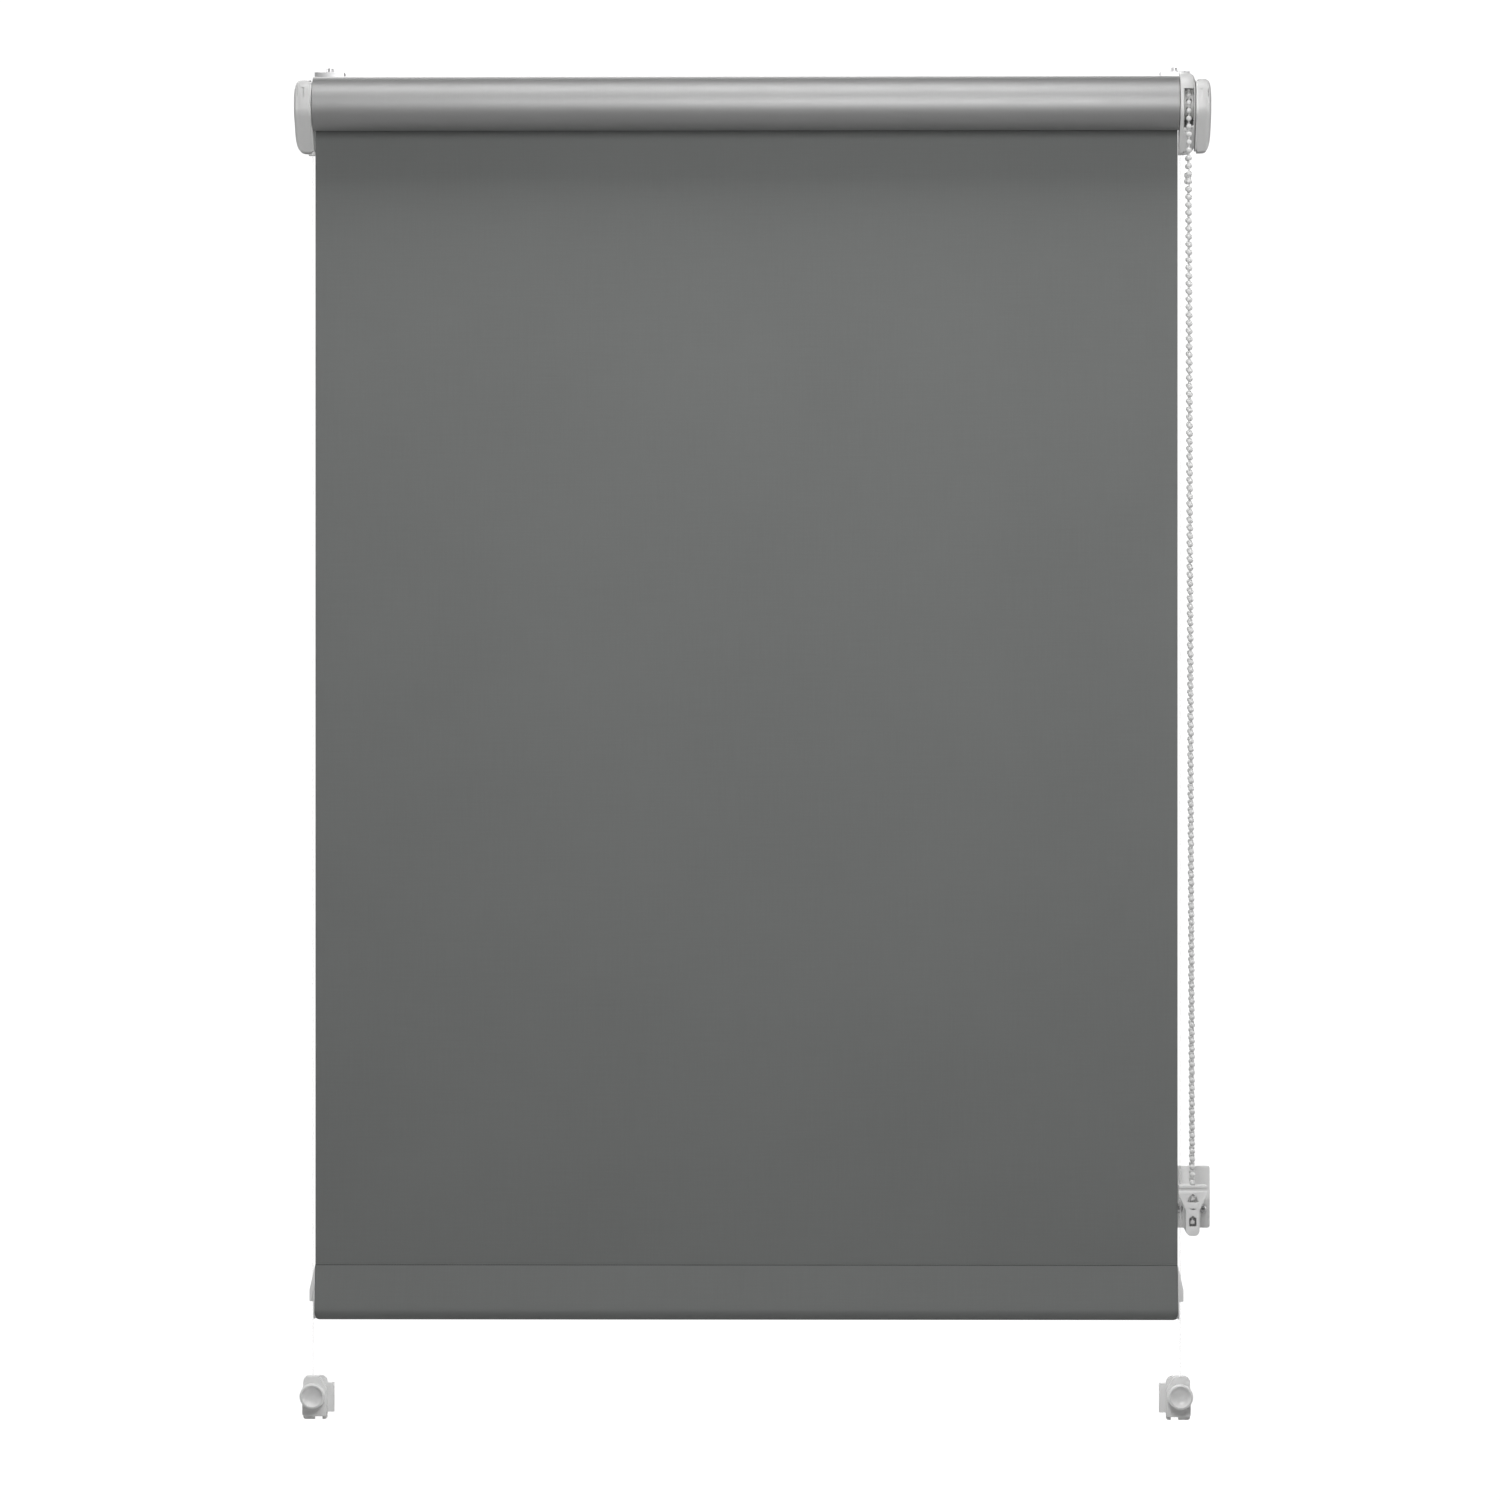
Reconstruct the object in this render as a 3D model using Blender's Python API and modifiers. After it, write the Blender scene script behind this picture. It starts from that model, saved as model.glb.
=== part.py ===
"""Chain-driven roller blind that clamps on a window sash, with guide wires and a chain holder.

Metres, +Z up. X = 0 is the middle of the fabric and +X the chain side, Y = 0 is the face of the
sash with -Y towards the room, and Z = 0 is the top of the sash, where the clamp jaws rest.
"""

import math

import bmesh
import bpy
from mathutils import Matrix, Vector

# Clearances
GAP = 0.0003
RUNNING_GAP = 0.00015
END_GAP = 0.0004
CUT = 0.001  # how far a cutting solid stands past what it cuts

# Fabric and roller
FABRIC_WIDTH = 0.660
SEAM_DROP = 0.8865
FABRIC_THICKNESS = 0.0005
ROLL_RADIUS = 0.0208
TUBE_RADIUS = 0.015
TUBE_WALL = 0.0012
TUBE_INSET = 0.0008
TAPE_THICKNESS = 0.0003
TAPE_WIDTH = 0.012
SASH_GAP = 0.012
TOP_GAP = 0.0032

# Sash clamps
CLAMP_WIDTH = 0.0225
CLAMP_INSET_LEFT = 0.010
CLAMP_INSET_RIGHT = 0.0015
CLAMP_PLATE = 0.003
CLAMP_PLATE_DROP = 0.036
ARM_THICKNESS = 0.0015
ARM_LENGTH = 0.017
JAW_PLATE = 0.0012
JAW_WIDTH = 0.018
JAW_START = 0.0055
SASH_THICKNESS = 0.018
LIP_DROP = 0.009
CLAMP_SCREW_Y = 0.009
CLAMP_SCREW_RADIUS = 0.0015
CLAMP_HEAD_RADIUS = 0.003
CLAMP_HEAD_HEIGHT = 0.0033
JAW_TRAVEL = 0.004
BEND_RADIUS = 0.0008

# Bracket bases and covers
BASE_PLATE = 0.0025
SIDE_PLATE = 0.003
COVER_WALL = 0.0013
COVER_WIDTH_LEFT = 0.0128
COVER_WIDTH_RIGHT = 0.0104
COVER_SETBACK = 0.0016
COVER_LEAD = 0.002
COVER_TOE = 0.0097
KNEE_DROP = 0.010
BACK_PLATE_TOP = 0.004
COVER_TOP = 0.0177
COVER_BOTTOM = 0.0362
SOCKET_RADIUS = 0.005
SOCKET_LENGTH = 0.0045
SOCKET_FLOOR = 0.001

# Chain drive
BEAD_PITCH = 0.006
SPROCKET_POCKETS = 12
SPROCKET_WIDTH = 0.0068
SPROCKET_ROOM = 0.0016
RIM_HEIGHT = 0.0013
RIM_ROOM = 0.002
GROOVE_WIDTH = 0.0051
HOUSING_WIDTH = 0.012
HOUSING_WALL = 0.0015
HOUSING_TOP = 0.0232
HOUSING_BOTTOM = 0.0375
HOUSING_TOE = 0.0096
SLOT_WIDTH = 0.0073
SLOT_TOP_DROP = 0.014
SLOT_MARGIN = 0.001
REAR_SLOT_HEIGHT = 0.020
AXLE_RADIUS = 0.0045
AXLE_LENGTH = 0.042
AXLE_SQUARE = 0.0066
AXLE_SCREW_RADIUS = 0.0016
AXLE_SCREW_REACH = 0.006
AXLE_HEAD_RADIUS = 0.0046
AXLE_HEAD_TOP_RADIUS = 0.0038
AXLE_HEAD_HEIGHT = 0.0022
AXLE_HEAD_EDGE = 0.0016
HUB_LENGTH = 0.0292
HUB_WALL = 0.003
LIP_HEIGHT = 0.0012
SLEEVE_LENGTH = 0.018
SLEEVE_WALL = 0.0012
SPRING_SPACE = 0.0017
WRAP_WIRE = 0.00045
SPRING_TURNS = 6
SPRING_MARGIN = 0.001
CORD_RADIUS = 0.0022
CHAIN_END_DRIFT = 0.0031
CHAIN_END_ABOVE_SEAM = 0.0342
CHAIN_HOLD_RADIUS = 0.0055
CONNECTOR_LENGTH = 0.009
CONNECTOR_RADIUS = 0.0029
CONNECTOR_DROP = 0.052

# Idle end
PIN_RADIUS = 0.0025
PIN_WIRE = 0.0004
PIN_CHAMFER = 0.0006
PIN_TAIL_INSET = 0.001
PIN_COLLAR_RADIUS = 0.004
PIN_COLLAR = 0.0017
PIN_TAIL_RADIUS = 0.0016
PIN_TIP_PAST_PLATE = 0.002
PLUG_LENGTH = 0.0292
PLUG_WALL = 0.0041
PLUG_FRONT_WALL = 0.0029
PLUG_CHAMBER_RADIUS = 0.0046

# Bottom bar
POCKET_HEIGHT = 0.0424
POCKET_TOP_THICKNESS = 0.0018
POCKET_FRONT = 0.012
POCKET_REAR = 0.003
POCKET_FRONT_ROUND = 0.0072
POCKET_REAR_ROUND = 0.0050
BAR_TOP_SHARE = 0.33
BAR_WALL = 0.0015
CAP_PLATE = 0.0008
CAP_PLUG = 0.012
CAP_TOP_SHARE = 0.19
EAR_REACH = 0.0041
EAR_TOP_DROP = 0.0015
EAR_SLOPE = 0.018
EAR_HEIGHT = 0.027
EAR_DEPTH = 0.0075

# Guide wires and their tensioners
WIRE_OUTSET = 0.0019
WIRE_Y = -0.0115
WIRE_RADIUS = 0.0005
WIRE_HOLE_RADIUS = 0.0008
FOOT_WIDTH = 0.0045
FOOT_DEPTH = 0.008
FOOT_HEIGHT = 0.0095
FOOT_BELOW_COVER = 0.0016
ANCHOR_RADIUS = 0.0013
ANCHOR_LENGTH = 0.0035
ANCHOR_RISE = 0.008
ANCHOR_ROOM = 0.004
TENSIONER_BELOW_BAR = 0.0436
TENSIONER_HEIGHT = 0.0337
TENSIONER_WIDTH = 0.0185
TENSIONER_OFFSET = -0.0012
TENSIONER_FLANGE = 0.0053
TENSIONER_BASE = 0.0025
TENSIONER_PAD = 0.001
TENSIONER_DEPTH = 0.0105
TENSIONER_KNEE = 0.0095
TENSIONER_CORNER = 0.005
FLANGE_RISE = 0.0057
FLANGE_DROP = 0.0055
NOTCH_WIDTH = 0.0056
NOTCH_HEIGHT = 0.0027
DOME_RISE = 0.003
DOME_TOP_SHARE = 0.46
KNOB_RADIUS = 0.00955
KNOB_LENGTH = 0.0095
KNOB_DROP = 0.0148
DISH_RADIUS = 0.0075
DISH_DEPTH = 0.0012
DISH_FLAT_SHARE = 0.7
KNOB_CHAMFER = 0.0008
KNOB_FACE = 0.003
SPINDLE_RADIUS = 0.0025
SPINDLE_SEAT = 0.002

# Chain holder
HOLDER_PLATE = 0.0024
HOLDER_PLATE_WIDTH = 0.0295
HOLDER_PLATE_HEIGHT = 0.0475
HOLDER_TOP_ABOVE_SEAM = 0.075
HOLDER_RIDGE_DROP = 0.0128
HOLDER_SCREW_DROP = 0.0328
HOLDER_SCREW_SPACING = 0.0184
HOLDER_SCREW_RADIUS = 0.0015
HOLDER_HEAD_RADIUS = 0.0032
HOLDER_HEAD_HEIGHT = 0.0018
HOLDER_MOUTH_WIDTH = 0.0215
HOLDER_THROAT_WIDTH = 0.0104
HOLDER_MOUTH_DROP = 0.0195
HOLDER_THROAT_DROP = 0.032
HOLDER_BELOW_CHAIN = 0.005
HOLDER_DEPTH = 0.020
HOLDER_WALL = 0.0017
STEM_WIDTH = 0.0106
STEM_HEIGHT = 0.035
CHANNEL_WIDTH = 0.0056
HOLDER_FLOOR = 0.002

# Places worked out from the sizes
HALF_WIDTH = FABRIC_WIDTH / 2
AXIS_Y = -(SASH_GAP + FABRIC_THICKNESS + GAP + ROLL_RADIUS)
AXIS_Z = -(TOP_GAP + ROLL_RADIUS)
SEAM_Z = AXIS_Z - SEAM_DROP
FABRIC_FRONT = -SASH_GAP - FABRIC_THICKNESS
BASE_X = HALF_WIDTH + END_GAP
TUBE_HALF = HALF_WIDTH - TUBE_INSET
HUB_RADIUS = TUBE_RADIUS - TUBE_WALL - GAP
CARRIER_TOP = JAW_PLATE + GAP + ARM_THICKNESS
HOUSING_OUT = BASE_X + HOUSING_WIDTH
RIGHT_PLATE_X = HOUSING_OUT + GAP
CHAIN_X = BASE_X + HOUSING_WALL + GAP + SPROCKET_WIDTH / 2 + SPROCKET_ROOM
PITCH_RADIUS = BEAD_PITCH / 2 / math.sin(math.pi / SPROCKET_POCKETS)
RIM_RADIUS = PITCH_RADIUS + RIM_HEIGHT
HOUSING_FRONT = AXIS_Y - RIM_RADIUS - HOUSING_WALL - RIM_ROOM
COVER_FRONT = HOUSING_FRONT - COVER_LEAD
WIRE_X = HALF_WIDTH + WIRE_OUTSET
COVER_BACK = CLAMP_PLATE - COVER_WALL
COVER_BOTTOM_Z = AXIS_Z - COVER_BOTTOM
FOOT_BOTTOM_Z = COVER_BOTTOM_Z - FOOT_BELOW_COVER
ANCHOR_TOP_Z = FOOT_BOTTOM_Z + ANCHOR_RISE
TENSIONER_TOP_Z = SEAM_Z - POCKET_HEIGHT - TENSIONER_BELOW_BAR
KNOB_Z = TENSIONER_TOP_Z - KNOB_DROP
TENSIONER_FRONT = -(TENSIONER_PAD + TENSIONER_BASE + TENSIONER_DEPTH + 2 * GAP)
CHAIN_HOLD_Y = AXIS_Y
CHAIN_END_X = CHAIN_X + CHAIN_END_DRIFT
CHAIN_HOLD_DROP = SEAM_DROP - CHAIN_END_ABOVE_SEAM
CHAIN_END_Z = AXIS_Z - CHAIN_HOLD_DROP
HOLDER_TOP_Z = SEAM_Z + HOLDER_TOP_ABOVE_SEAM

ROUND_SEGMENTS = 40
SMALL_SEGMENTS = 20
ARC_STEPS = 5
COIL_STEPS = 10
SIDES = {"left": -1, "right": 1}

WHITE_PLASTIC = ((0.78, 0.78, 0.77, 1.0), 0.42, 0.0)
CLEAR_GREY = ((0.62, 0.62, 0.61, 1.0), 0.40, 0.0)
STEEL = ((0.60, 0.60, 0.60, 1.0), 0.30, 1.0)
ALUMINIUM = ((0.70, 0.70, 0.71, 1.0), 0.35, 1.0)
GREY_CLOTH = ((0.13, 0.135, 0.13, 1.0), 0.85, 0.0)
SILVER_CLOTH = ((0.42, 0.42, 0.42, 1.0), 0.55, 0.0)
NYLON = ((0.85, 0.85, 0.84, 1.0), 0.30, 0.0)
FOAM = ((0.80, 0.80, 0.78, 1.0), 0.90, 0.0)


def clear_scene():
    """Remove everything that the file opened with."""
    for old in list(bpy.data.objects):
        bpy.data.objects.remove(old, do_unlink=True)


def collection(name):
    """Make a collection in the scene."""
    made = bpy.data.collections.new(name)
    bpy.context.scene.collection.children.link(made)
    return made


def dress(piece, finish):
    """Give a piece its own Principled material: colour, roughness and metallic value."""
    colour, roughness, metallic = finish
    material = bpy.data.materials.new(piece.name + "_material")
    material.use_nodes = True
    shader = material.node_tree.nodes["Principled BSDF"]
    shader.inputs["Base Color"].default_value = colour
    shader.inputs["Roughness"].default_value = roughness
    shader.inputs["Metallic"].default_value = metallic
    piece.data.materials.append(material)


def add_mesh(name, build, group, place=None):
    """Make an object from a bmesh that build(bm) fills in, moved by place."""
    bm = bmesh.new()
    build(bm)
    bmesh.ops.recalc_face_normals(bm, faces=bm.faces)
    if bm.calc_volume(signed=True) < 0:
        bmesh.ops.reverse_faces(bm, faces=bm.faces)
    if place is not None:
        bm.transform(place)
    mesh = bpy.data.meshes.new(name)
    bm.to_mesh(mesh)
    bm.free()
    piece = bpy.data.objects.new(name, mesh)
    group.objects.link(piece)
    return piece


def box(name, x, y, z, group):
    """A box between two values on each axis."""
    size = Vector((abs(x[1] - x[0]), abs(y[1] - y[0]), abs(z[1] - z[0])))
    middle = Vector((sum(x) / 2, sum(y) / 2, sum(z) / 2))
    place = Matrix.Translation(middle) @ Matrix.Diagonal(size).to_4x4()
    return add_mesh(name, lambda bm: bmesh.ops.create_cube(bm, size=1.0), group, place)


AXES = {
    "X": Matrix(((0, 0, 1), (1, 0, 0), (0, 1, 0))),
    "Y": Matrix(((1, 0, 0), (0, 0, -1), (0, 1, 0))),
    "Z": Matrix.Identity(3),
}


def along(axis, start, end, across):
    """The matrix from a solid on local Z to the stretch start to end of a world axis."""
    middle = (start + end) / 2
    sign = -1 if axis == "Y" else 1
    local = Vector((across[0], across[1], sign * middle))
    return AXES[axis].to_4x4() @ Matrix.Translation(local)


def cylinder(name, axis, across, start, end, radius, group, segments=SMALL_SEGMENTS):
    """A round bar along a world axis; across is its place on the other two axes."""
    length = abs(end - start)

    def build(bm):
        bmesh.ops.create_cone(
            bm, cap_ends=True, segments=segments, radius1=radius, radius2=radius, depth=length
        )

    return add_mesh(name, build, group, along(axis, start, end, across))


def rounded(corners):
    """An outline's points, with each (u, v, radius) corner turned into an arc."""
    points = []
    for index, (u, v, radius) in enumerate(corners):
        corner = Vector((u, v))
        before = (Vector(corners[index - 1][:2]) - corner).normalized()
        after = (Vector(corners[(index + 1) % len(corners)][:2]) - corner).normalized()
        if radius <= 0:
            points.append(corner)
            continue
        half = before.angle(after) / 2
        centre = corner + (before + after).normalized() * (radius / math.sin(half))
        reach = radius / math.tan(half)
        first = corner + before * reach - centre
        last = corner + after * reach - centre
        start = math.atan2(first.y, first.x)
        sweep = (math.atan2(last.y, last.x) - start + math.pi) % (2 * math.pi) - math.pi
        for step in range(ARC_STEPS + 1):
            angle = start + sweep * step / ARC_STEPS
            points.append(centre + radius * Vector((math.cos(angle), math.sin(angle))))
    return points


def inset(corners, distance):
    """The corners of a convex outline, moved inwards by a distance."""
    moved = []
    for index, (u, v, radius) in enumerate(corners):
        corner = Vector((u, v))
        before = (Vector(corners[index - 1][:2]) - corner).normalized()
        after = (Vector(corners[(index + 1) % len(corners)][:2]) - corner).normalized()
        half = before.angle(after) / 2
        corner += (before + after).normalized() * (distance / math.sin(half))
        moved.append((corner.x, corner.y, max(radius - distance, 0.0)))
    return moved


def extruded(name, corners, axis, start, end, group):
    """A flat outline with rounded corners, extruded along a world axis and made a mesh."""
    curve = bpy.data.curves.new(name + "_outline", "CURVE")
    curve.dimensions = "2D"
    curve.fill_mode = "BOTH"
    curve.extrude = abs(end - start) / 2
    points = rounded(corners)
    spline = curve.splines.new("POLY")
    spline.points.add(len(points) - 1)
    for point, place in zip(spline.points, points):
        point.co = (place.x, place.y, 0, 1)
    spline.use_cyclic_u = True
    return curve_to_mesh(name, curve, along(axis, start, end, (0, 0)), group)


def curve_to_mesh(name, curve, place, group):
    """Turn a curve into a closed mesh object in its place, and remove the curve."""
    source = bpy.data.objects.new(name + "_curve", curve)
    group.objects.link(source)
    bpy.context.view_layer.update()
    shape = source.evaluated_get(bpy.context.evaluated_depsgraph_get())
    mesh = bpy.data.meshes.new_from_object(shape)
    bpy.data.objects.remove(source, do_unlink=True)
    bpy.data.curves.remove(curve)

    def build(bm):
        bm.from_mesh(mesh)
        bmesh.ops.remove_doubles(bm, verts=bm.verts, dist=0.000001)

    piece = add_mesh(name, build, group, place)
    bpy.data.meshes.remove(mesh)
    return piece


def wire(name, points, radius, group, detail=2):
    """A round wire through the points, with closed ends."""
    curve = bpy.data.curves.new(name + "_line", "CURVE")
    curve.dimensions = "3D"
    curve.bevel_depth = radius
    curve.bevel_resolution = detail
    curve.use_fill_caps = True
    spline = curve.splines.new("POLY")
    spline.points.add(len(points) - 1)
    for point, place in zip(spline.points, points):
        point.co = (*place, 1)
    return curve_to_mesh(name, curve, Matrix.Identity(4), group)


def turned(name, profile, axis, centre, group, segments=ROUND_SEGMENTS):
    """A closed profile of (distance along the axis, radius), turned by a Screw modifier.

    The profile runs down its outer side first. It lies along a world axis through centre.
    """
    mesh = bpy.data.meshes.new(name)
    points = [(radius, 0.0, distance) for distance, radius in profile]
    edges = [(n, (n + 1) % len(points)) for n in range(len(points))]
    mesh.from_pydata(points, edges, [])
    piece = bpy.data.objects.new(name, mesh)
    group.objects.link(piece)
    screw = piece.modifiers.new("turn", "SCREW")
    screw.axis = "Z"
    screw.steps = segments
    screw.render_steps = segments
    screw.use_merge_vertices = True
    screw.merge_threshold = 0.00001
    screw.use_smooth_shade = False
    piece.matrix_world = Matrix.Translation(centre) @ AXES[axis].to_4x4()
    return piece


def tube(name, axis, centre, start, end, outer, inner, group, segments=ROUND_SEGMENTS):
    """A straight tube between two distances along an axis."""
    profile = [(end, outer), (start, outer), (start, inner), (end, inner)]
    return turned(name, profile, axis, centre, group, segments)


def combine(piece, others, operation):
    """Add (UNION) or cut away (DIFFERENCE) hidden helper solids with exact Booleans."""
    for other in others:
        other.hide_render = True
        other.display_type = "WIRE"
        change = piece.modifiers.new(other.name, "BOOLEAN")
        change.operation = operation
        change.solver = "EXACT"
        change.object = other


def mirrored(span, side):
    """Turn a span of distances from the middle into x values on one side, low first."""
    return tuple(sorted((side * span[0], side * span[1])))


def empty_at(name, place, parts):
    """An empty on a joint's axis, which its moving pieces are parented to."""
    pivot = bpy.data.objects.new(name, None)
    pivot.location = place
    parts.objects.link(pivot)
    bpy.context.view_layer.update()
    return pivot


def hang_on(pivot, pieces):
    """Parent pieces to an empty without moving them."""
    bpy.context.view_layer.update()
    for piece in pieces:
        piece.parent = pivot
        piece.matrix_parent_inverse = pivot.matrix_world.inverted()


def cover_outline():
    """The side view (y, z) of the end covers: flat back, upright front, sloping underside."""
    return [
        (-COVER_BACK, AXIS_Z + COVER_TOP, 0.002),
        (COVER_FRONT, AXIS_Z + COVER_TOP, 0.009),
        (COVER_FRONT, AXIS_Z - KNEE_DROP, 0.012),
        (AXIS_Y + COVER_TOE, COVER_BOTTOM_Z, 0.004),
        (-COVER_BACK, COVER_BOTTOM_Z, 0.002),
    ]


def housing_outline():
    """The side view (y, z) of the chain housing."""
    back = -(CLAMP_PLATE + BASE_PLATE + 2 * GAP)
    return [
        (back, AXIS_Z + HOUSING_TOP, 0.003),
        (HOUSING_FRONT, AXIS_Z + HOUSING_TOP, 0.014),
        (HOUSING_FRONT, AXIS_Z - KNEE_DROP, 0.012),
        (AXIS_Y + HOUSING_TOE, AXIS_Z - HOUSING_BOTTOM, 0.005),
        (back, AXIS_Z - HOUSING_BOTTOM, 0.002),
    ]


def pocket_outline():
    """The cross-section (y, z) of the hem pocket: a drop shape below the seam."""
    middle = FABRIC_FRONT + FABRIC_THICKNESS / 2
    half = POCKET_TOP_THICKNESS / 2
    bottom = SEAM_Z - POCKET_HEIGHT
    return [
        (middle + half, SEAM_Z, 0.0004),
        (middle - half, SEAM_Z, 0.0004),
        (middle - POCKET_FRONT, bottom, POCKET_FRONT_ROUND),
        (middle + POCKET_REAR, bottom, POCKET_REAR_ROUND),
    ]


def cut_top(corners, share):
    """A four-cornered drop shape with this share of its height taken off the top."""
    rear, front, front_low, rear_low = corners
    lower = [
        tuple(a + (b - a) * share for a, b in zip(top[:2], low[:2])) + (0.001,)
        for top, low in ((rear, rear_low), (front, front_low))
    ]
    return [lower[0], lower[1], front_low, rear_low]


def clamp_centre(side):
    """The middle of a clamp, in x."""
    inset_in = CLAMP_INSET_LEFT if side < 0 else CLAMP_INSET_RIGHT
    return side * (HALF_WIDTH - inset_in)


def make_clamp(label, side, parts, helpers):
    """A steel carrier over the sash, its sliding jaw and the screw that holds the jaw."""
    middle = clamp_centre(side)
    span = (middle - CLAMP_WIDTH / 2, middle + CLAMP_WIDTH / 2)
    under = JAW_PLATE + GAP
    profile = [
        (-CLAMP_PLATE, CARRIER_TOP, 0.0005),
        (-CLAMP_PLATE, -CLAMP_PLATE_DROP, 0.0005),
        (0, -CLAMP_PLATE_DROP, 0),
        (0, under, 0),
        (ARM_LENGTH, under, 0),
        (ARM_LENGTH, CARRIER_TOP, 0),
    ]
    carrier = extruded(f"clamp_carrier_{label}", profile, "X", *span, parts)
    reach = JAW_TRAVEL + CLAMP_SCREW_RADIUS + GAP
    half = CLAMP_SCREW_RADIUS + GAP
    slot = [
        (middle - half, CLAMP_SCREW_Y - reach, half * 0.9),
        (middle + half, CLAMP_SCREW_Y - reach, half * 0.9),
        (middle + half, CLAMP_SCREW_Y + reach, half * 0.9),
        (middle - half, CLAMP_SCREW_Y + reach, half * 0.9),
    ]
    cutter = extruded(f"clamp_slot_{label}", slot, "Z", 0, CARRIER_TOP * 2, helpers)
    combine(carrier, [cutter], "DIFFERENCE")

    hook = [
        (JAW_START, 0, 0),
        (JAW_START, JAW_PLATE, 0),
        (SASH_THICKNESS + JAW_PLATE, JAW_PLATE, BEND_RADIUS),
        (SASH_THICKNESS + JAW_PLATE, -LIP_DROP, 0),
        (SASH_THICKNESS, -LIP_DROP, 0),
        (SASH_THICKNESS, 0, 0),
    ]
    jaw_span = (middle - JAW_WIDTH / 2, middle + JAW_WIDTH / 2)
    jaw = extruded(f"clamp_jaw_{label}", hook, "X", *jaw_span, parts)
    tapped = CLAMP_SCREW_RADIUS + RUNNING_GAP
    at = (middle, CLAMP_SCREW_Y)
    hole = cylinder(f"jaw_hole_{label}", "Z", at, -CUT, JAW_PLATE + CUT, tapped, helpers)
    combine(jaw, [hole], "DIFFERENCE")

    head = CARRIER_TOP + GAP
    profile = [
        (head + CLAMP_HEAD_HEIGHT, 0),
        (head + CLAMP_HEAD_HEIGHT, CLAMP_HEAD_RADIUS * 0.85),
        (head + CLAMP_HEAD_HEIGHT * 0.8, CLAMP_HEAD_RADIUS),
        (head, CLAMP_HEAD_RADIUS),
        (head, CLAMP_SCREW_RADIUS),
        (JAW_PLATE / 6, CLAMP_SCREW_RADIUS),
        (JAW_PLATE / 6, 0),
    ]
    centre = (middle, CLAMP_SCREW_Y, 0)
    screw = turned(f"clamp_screw_{label}", profile, "Z", centre, parts, SMALL_SEGMENTS)
    dress(carrier, STEEL)
    dress(jaw, STEEL)
    dress(screw, STEEL)
    pivot = empty_at(f"jaw_slide_{label}", (middle, SASH_THICKNESS, 0), parts)
    hang_on(pivot, [jaw, screw])


def foot_box(name, side, margin, group):
    """The block under a bracket that a guide wire hangs from, grown by a margin."""
    x = mirrored((BASE_X - margin, BASE_X + FOOT_WIDTH + margin), side)
    y = (WIRE_Y - FOOT_DEPTH / 2 - margin, WIRE_Y + FOOT_DEPTH / 2 + margin)
    z = (FOOT_BOTTOM_Z - margin, FOOT_BOTTOM_Z + FOOT_HEIGHT + margin)
    return box(name, x, y, z, group)


def wire_holes(label, side, helpers):
    """The wire's hole through a foot, and the wider hole above it for the crimped anchor."""
    at = (side * WIRE_X, WIRE_Y)
    low = FOOT_BOTTOM_Z - CUT
    seat = ANCHOR_TOP_Z - ANCHOR_LENGTH - GAP
    top = FOOT_BOTTOM_Z + FOOT_HEIGHT + ANCHOR_ROOM
    thin = cylinder(f"wire_hole_{label}", "Z", at, low, top, WIRE_HOLE_RADIUS, helpers)
    wide = cylinder(f"anchor_hole_{label}", "Z", at, seat, top, ANCHOR_RADIUS + GAP, helpers)
    return [thin, wide]


def base_back_plate(name, label, side, outer, helpers):
    """The part of a bracket base that lies on the clamp carrier."""
    inner = clamp_centre(side) - side * CLAMP_WIDTH / 2
    x = tuple(sorted((inner, side * outer)))
    y = (-(CLAMP_PLATE + GAP + BASE_PLATE), -(CLAMP_PLATE + GAP))
    z = (-CLAMP_PLATE_DROP, -BACK_PLATE_TOP)
    return box(f"{name}_{label}", x, y, z, helpers)


def make_left_bracket(parts, helpers):
    """The idle side's bracket base, with the socket that the pin sits in, and its cover."""
    side = -1
    inner = inset(cover_outline(), COVER_WALL + GAP)
    span = mirrored((BASE_X, BASE_X + SIDE_PLATE), side)
    base = extruded("bracket_base_left", inner, "X", *span, parts)
    back = base_back_plate("back_plate", "left", side, BASE_X + COVER_SETBACK - GAP, helpers)
    foot = foot_box("wire_foot_left", side, 0, helpers)
    axis = (AXIS_Y, AXIS_Z)
    plate_out = BASE_X + SIDE_PLATE
    boss_span = mirrored((plate_out - CUT, plate_out + SOCKET_LENGTH), side)
    boss = cylinder("pin_boss", "X", axis, *boss_span, SOCKET_RADIUS, helpers)
    bore_span = mirrored((BASE_X - CUT, plate_out + SOCKET_LENGTH - SOCKET_FLOOR), side)
    bore = cylinder(
        "pin_bore", "X", axis, *bore_span, PIN_RADIUS + RUNNING_GAP, helpers, SMALL_SEGMENTS
    )
    combine(base, [back, foot, boss], "UNION")
    combine(base, [bore, *wire_holes("left", side, helpers)], "DIFFERENCE")
    dress(base, WHITE_PLASTIC)
    start = BASE_X + COVER_SETBACK
    make_cover("left", side, start, start + COVER_WIDTH_LEFT, parts, helpers)


def make_cover(label, side, start, end, parts, helpers):
    """A snap-on end cover: a shell that is open towards the bracket base."""
    cover = extruded(
        f"end_cover_{label}", cover_outline(), "X", *mirrored((start, end), side), parts
    )
    hollow = extruded(
        f"cover_hollow_{label}",
        inset(cover_outline(), COVER_WALL),
        "X",
        *mirrored((start - CUT, end - COVER_WALL), side),
        helpers,
    )
    combine(cover, [hollow], "DIFFERENCE")
    if side < 0:
        combine(cover, [foot_box("foot_space_left", side, GAP, helpers)], "DIFFERENCE")
    dress(cover, WHITE_PLASTIC)


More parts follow.
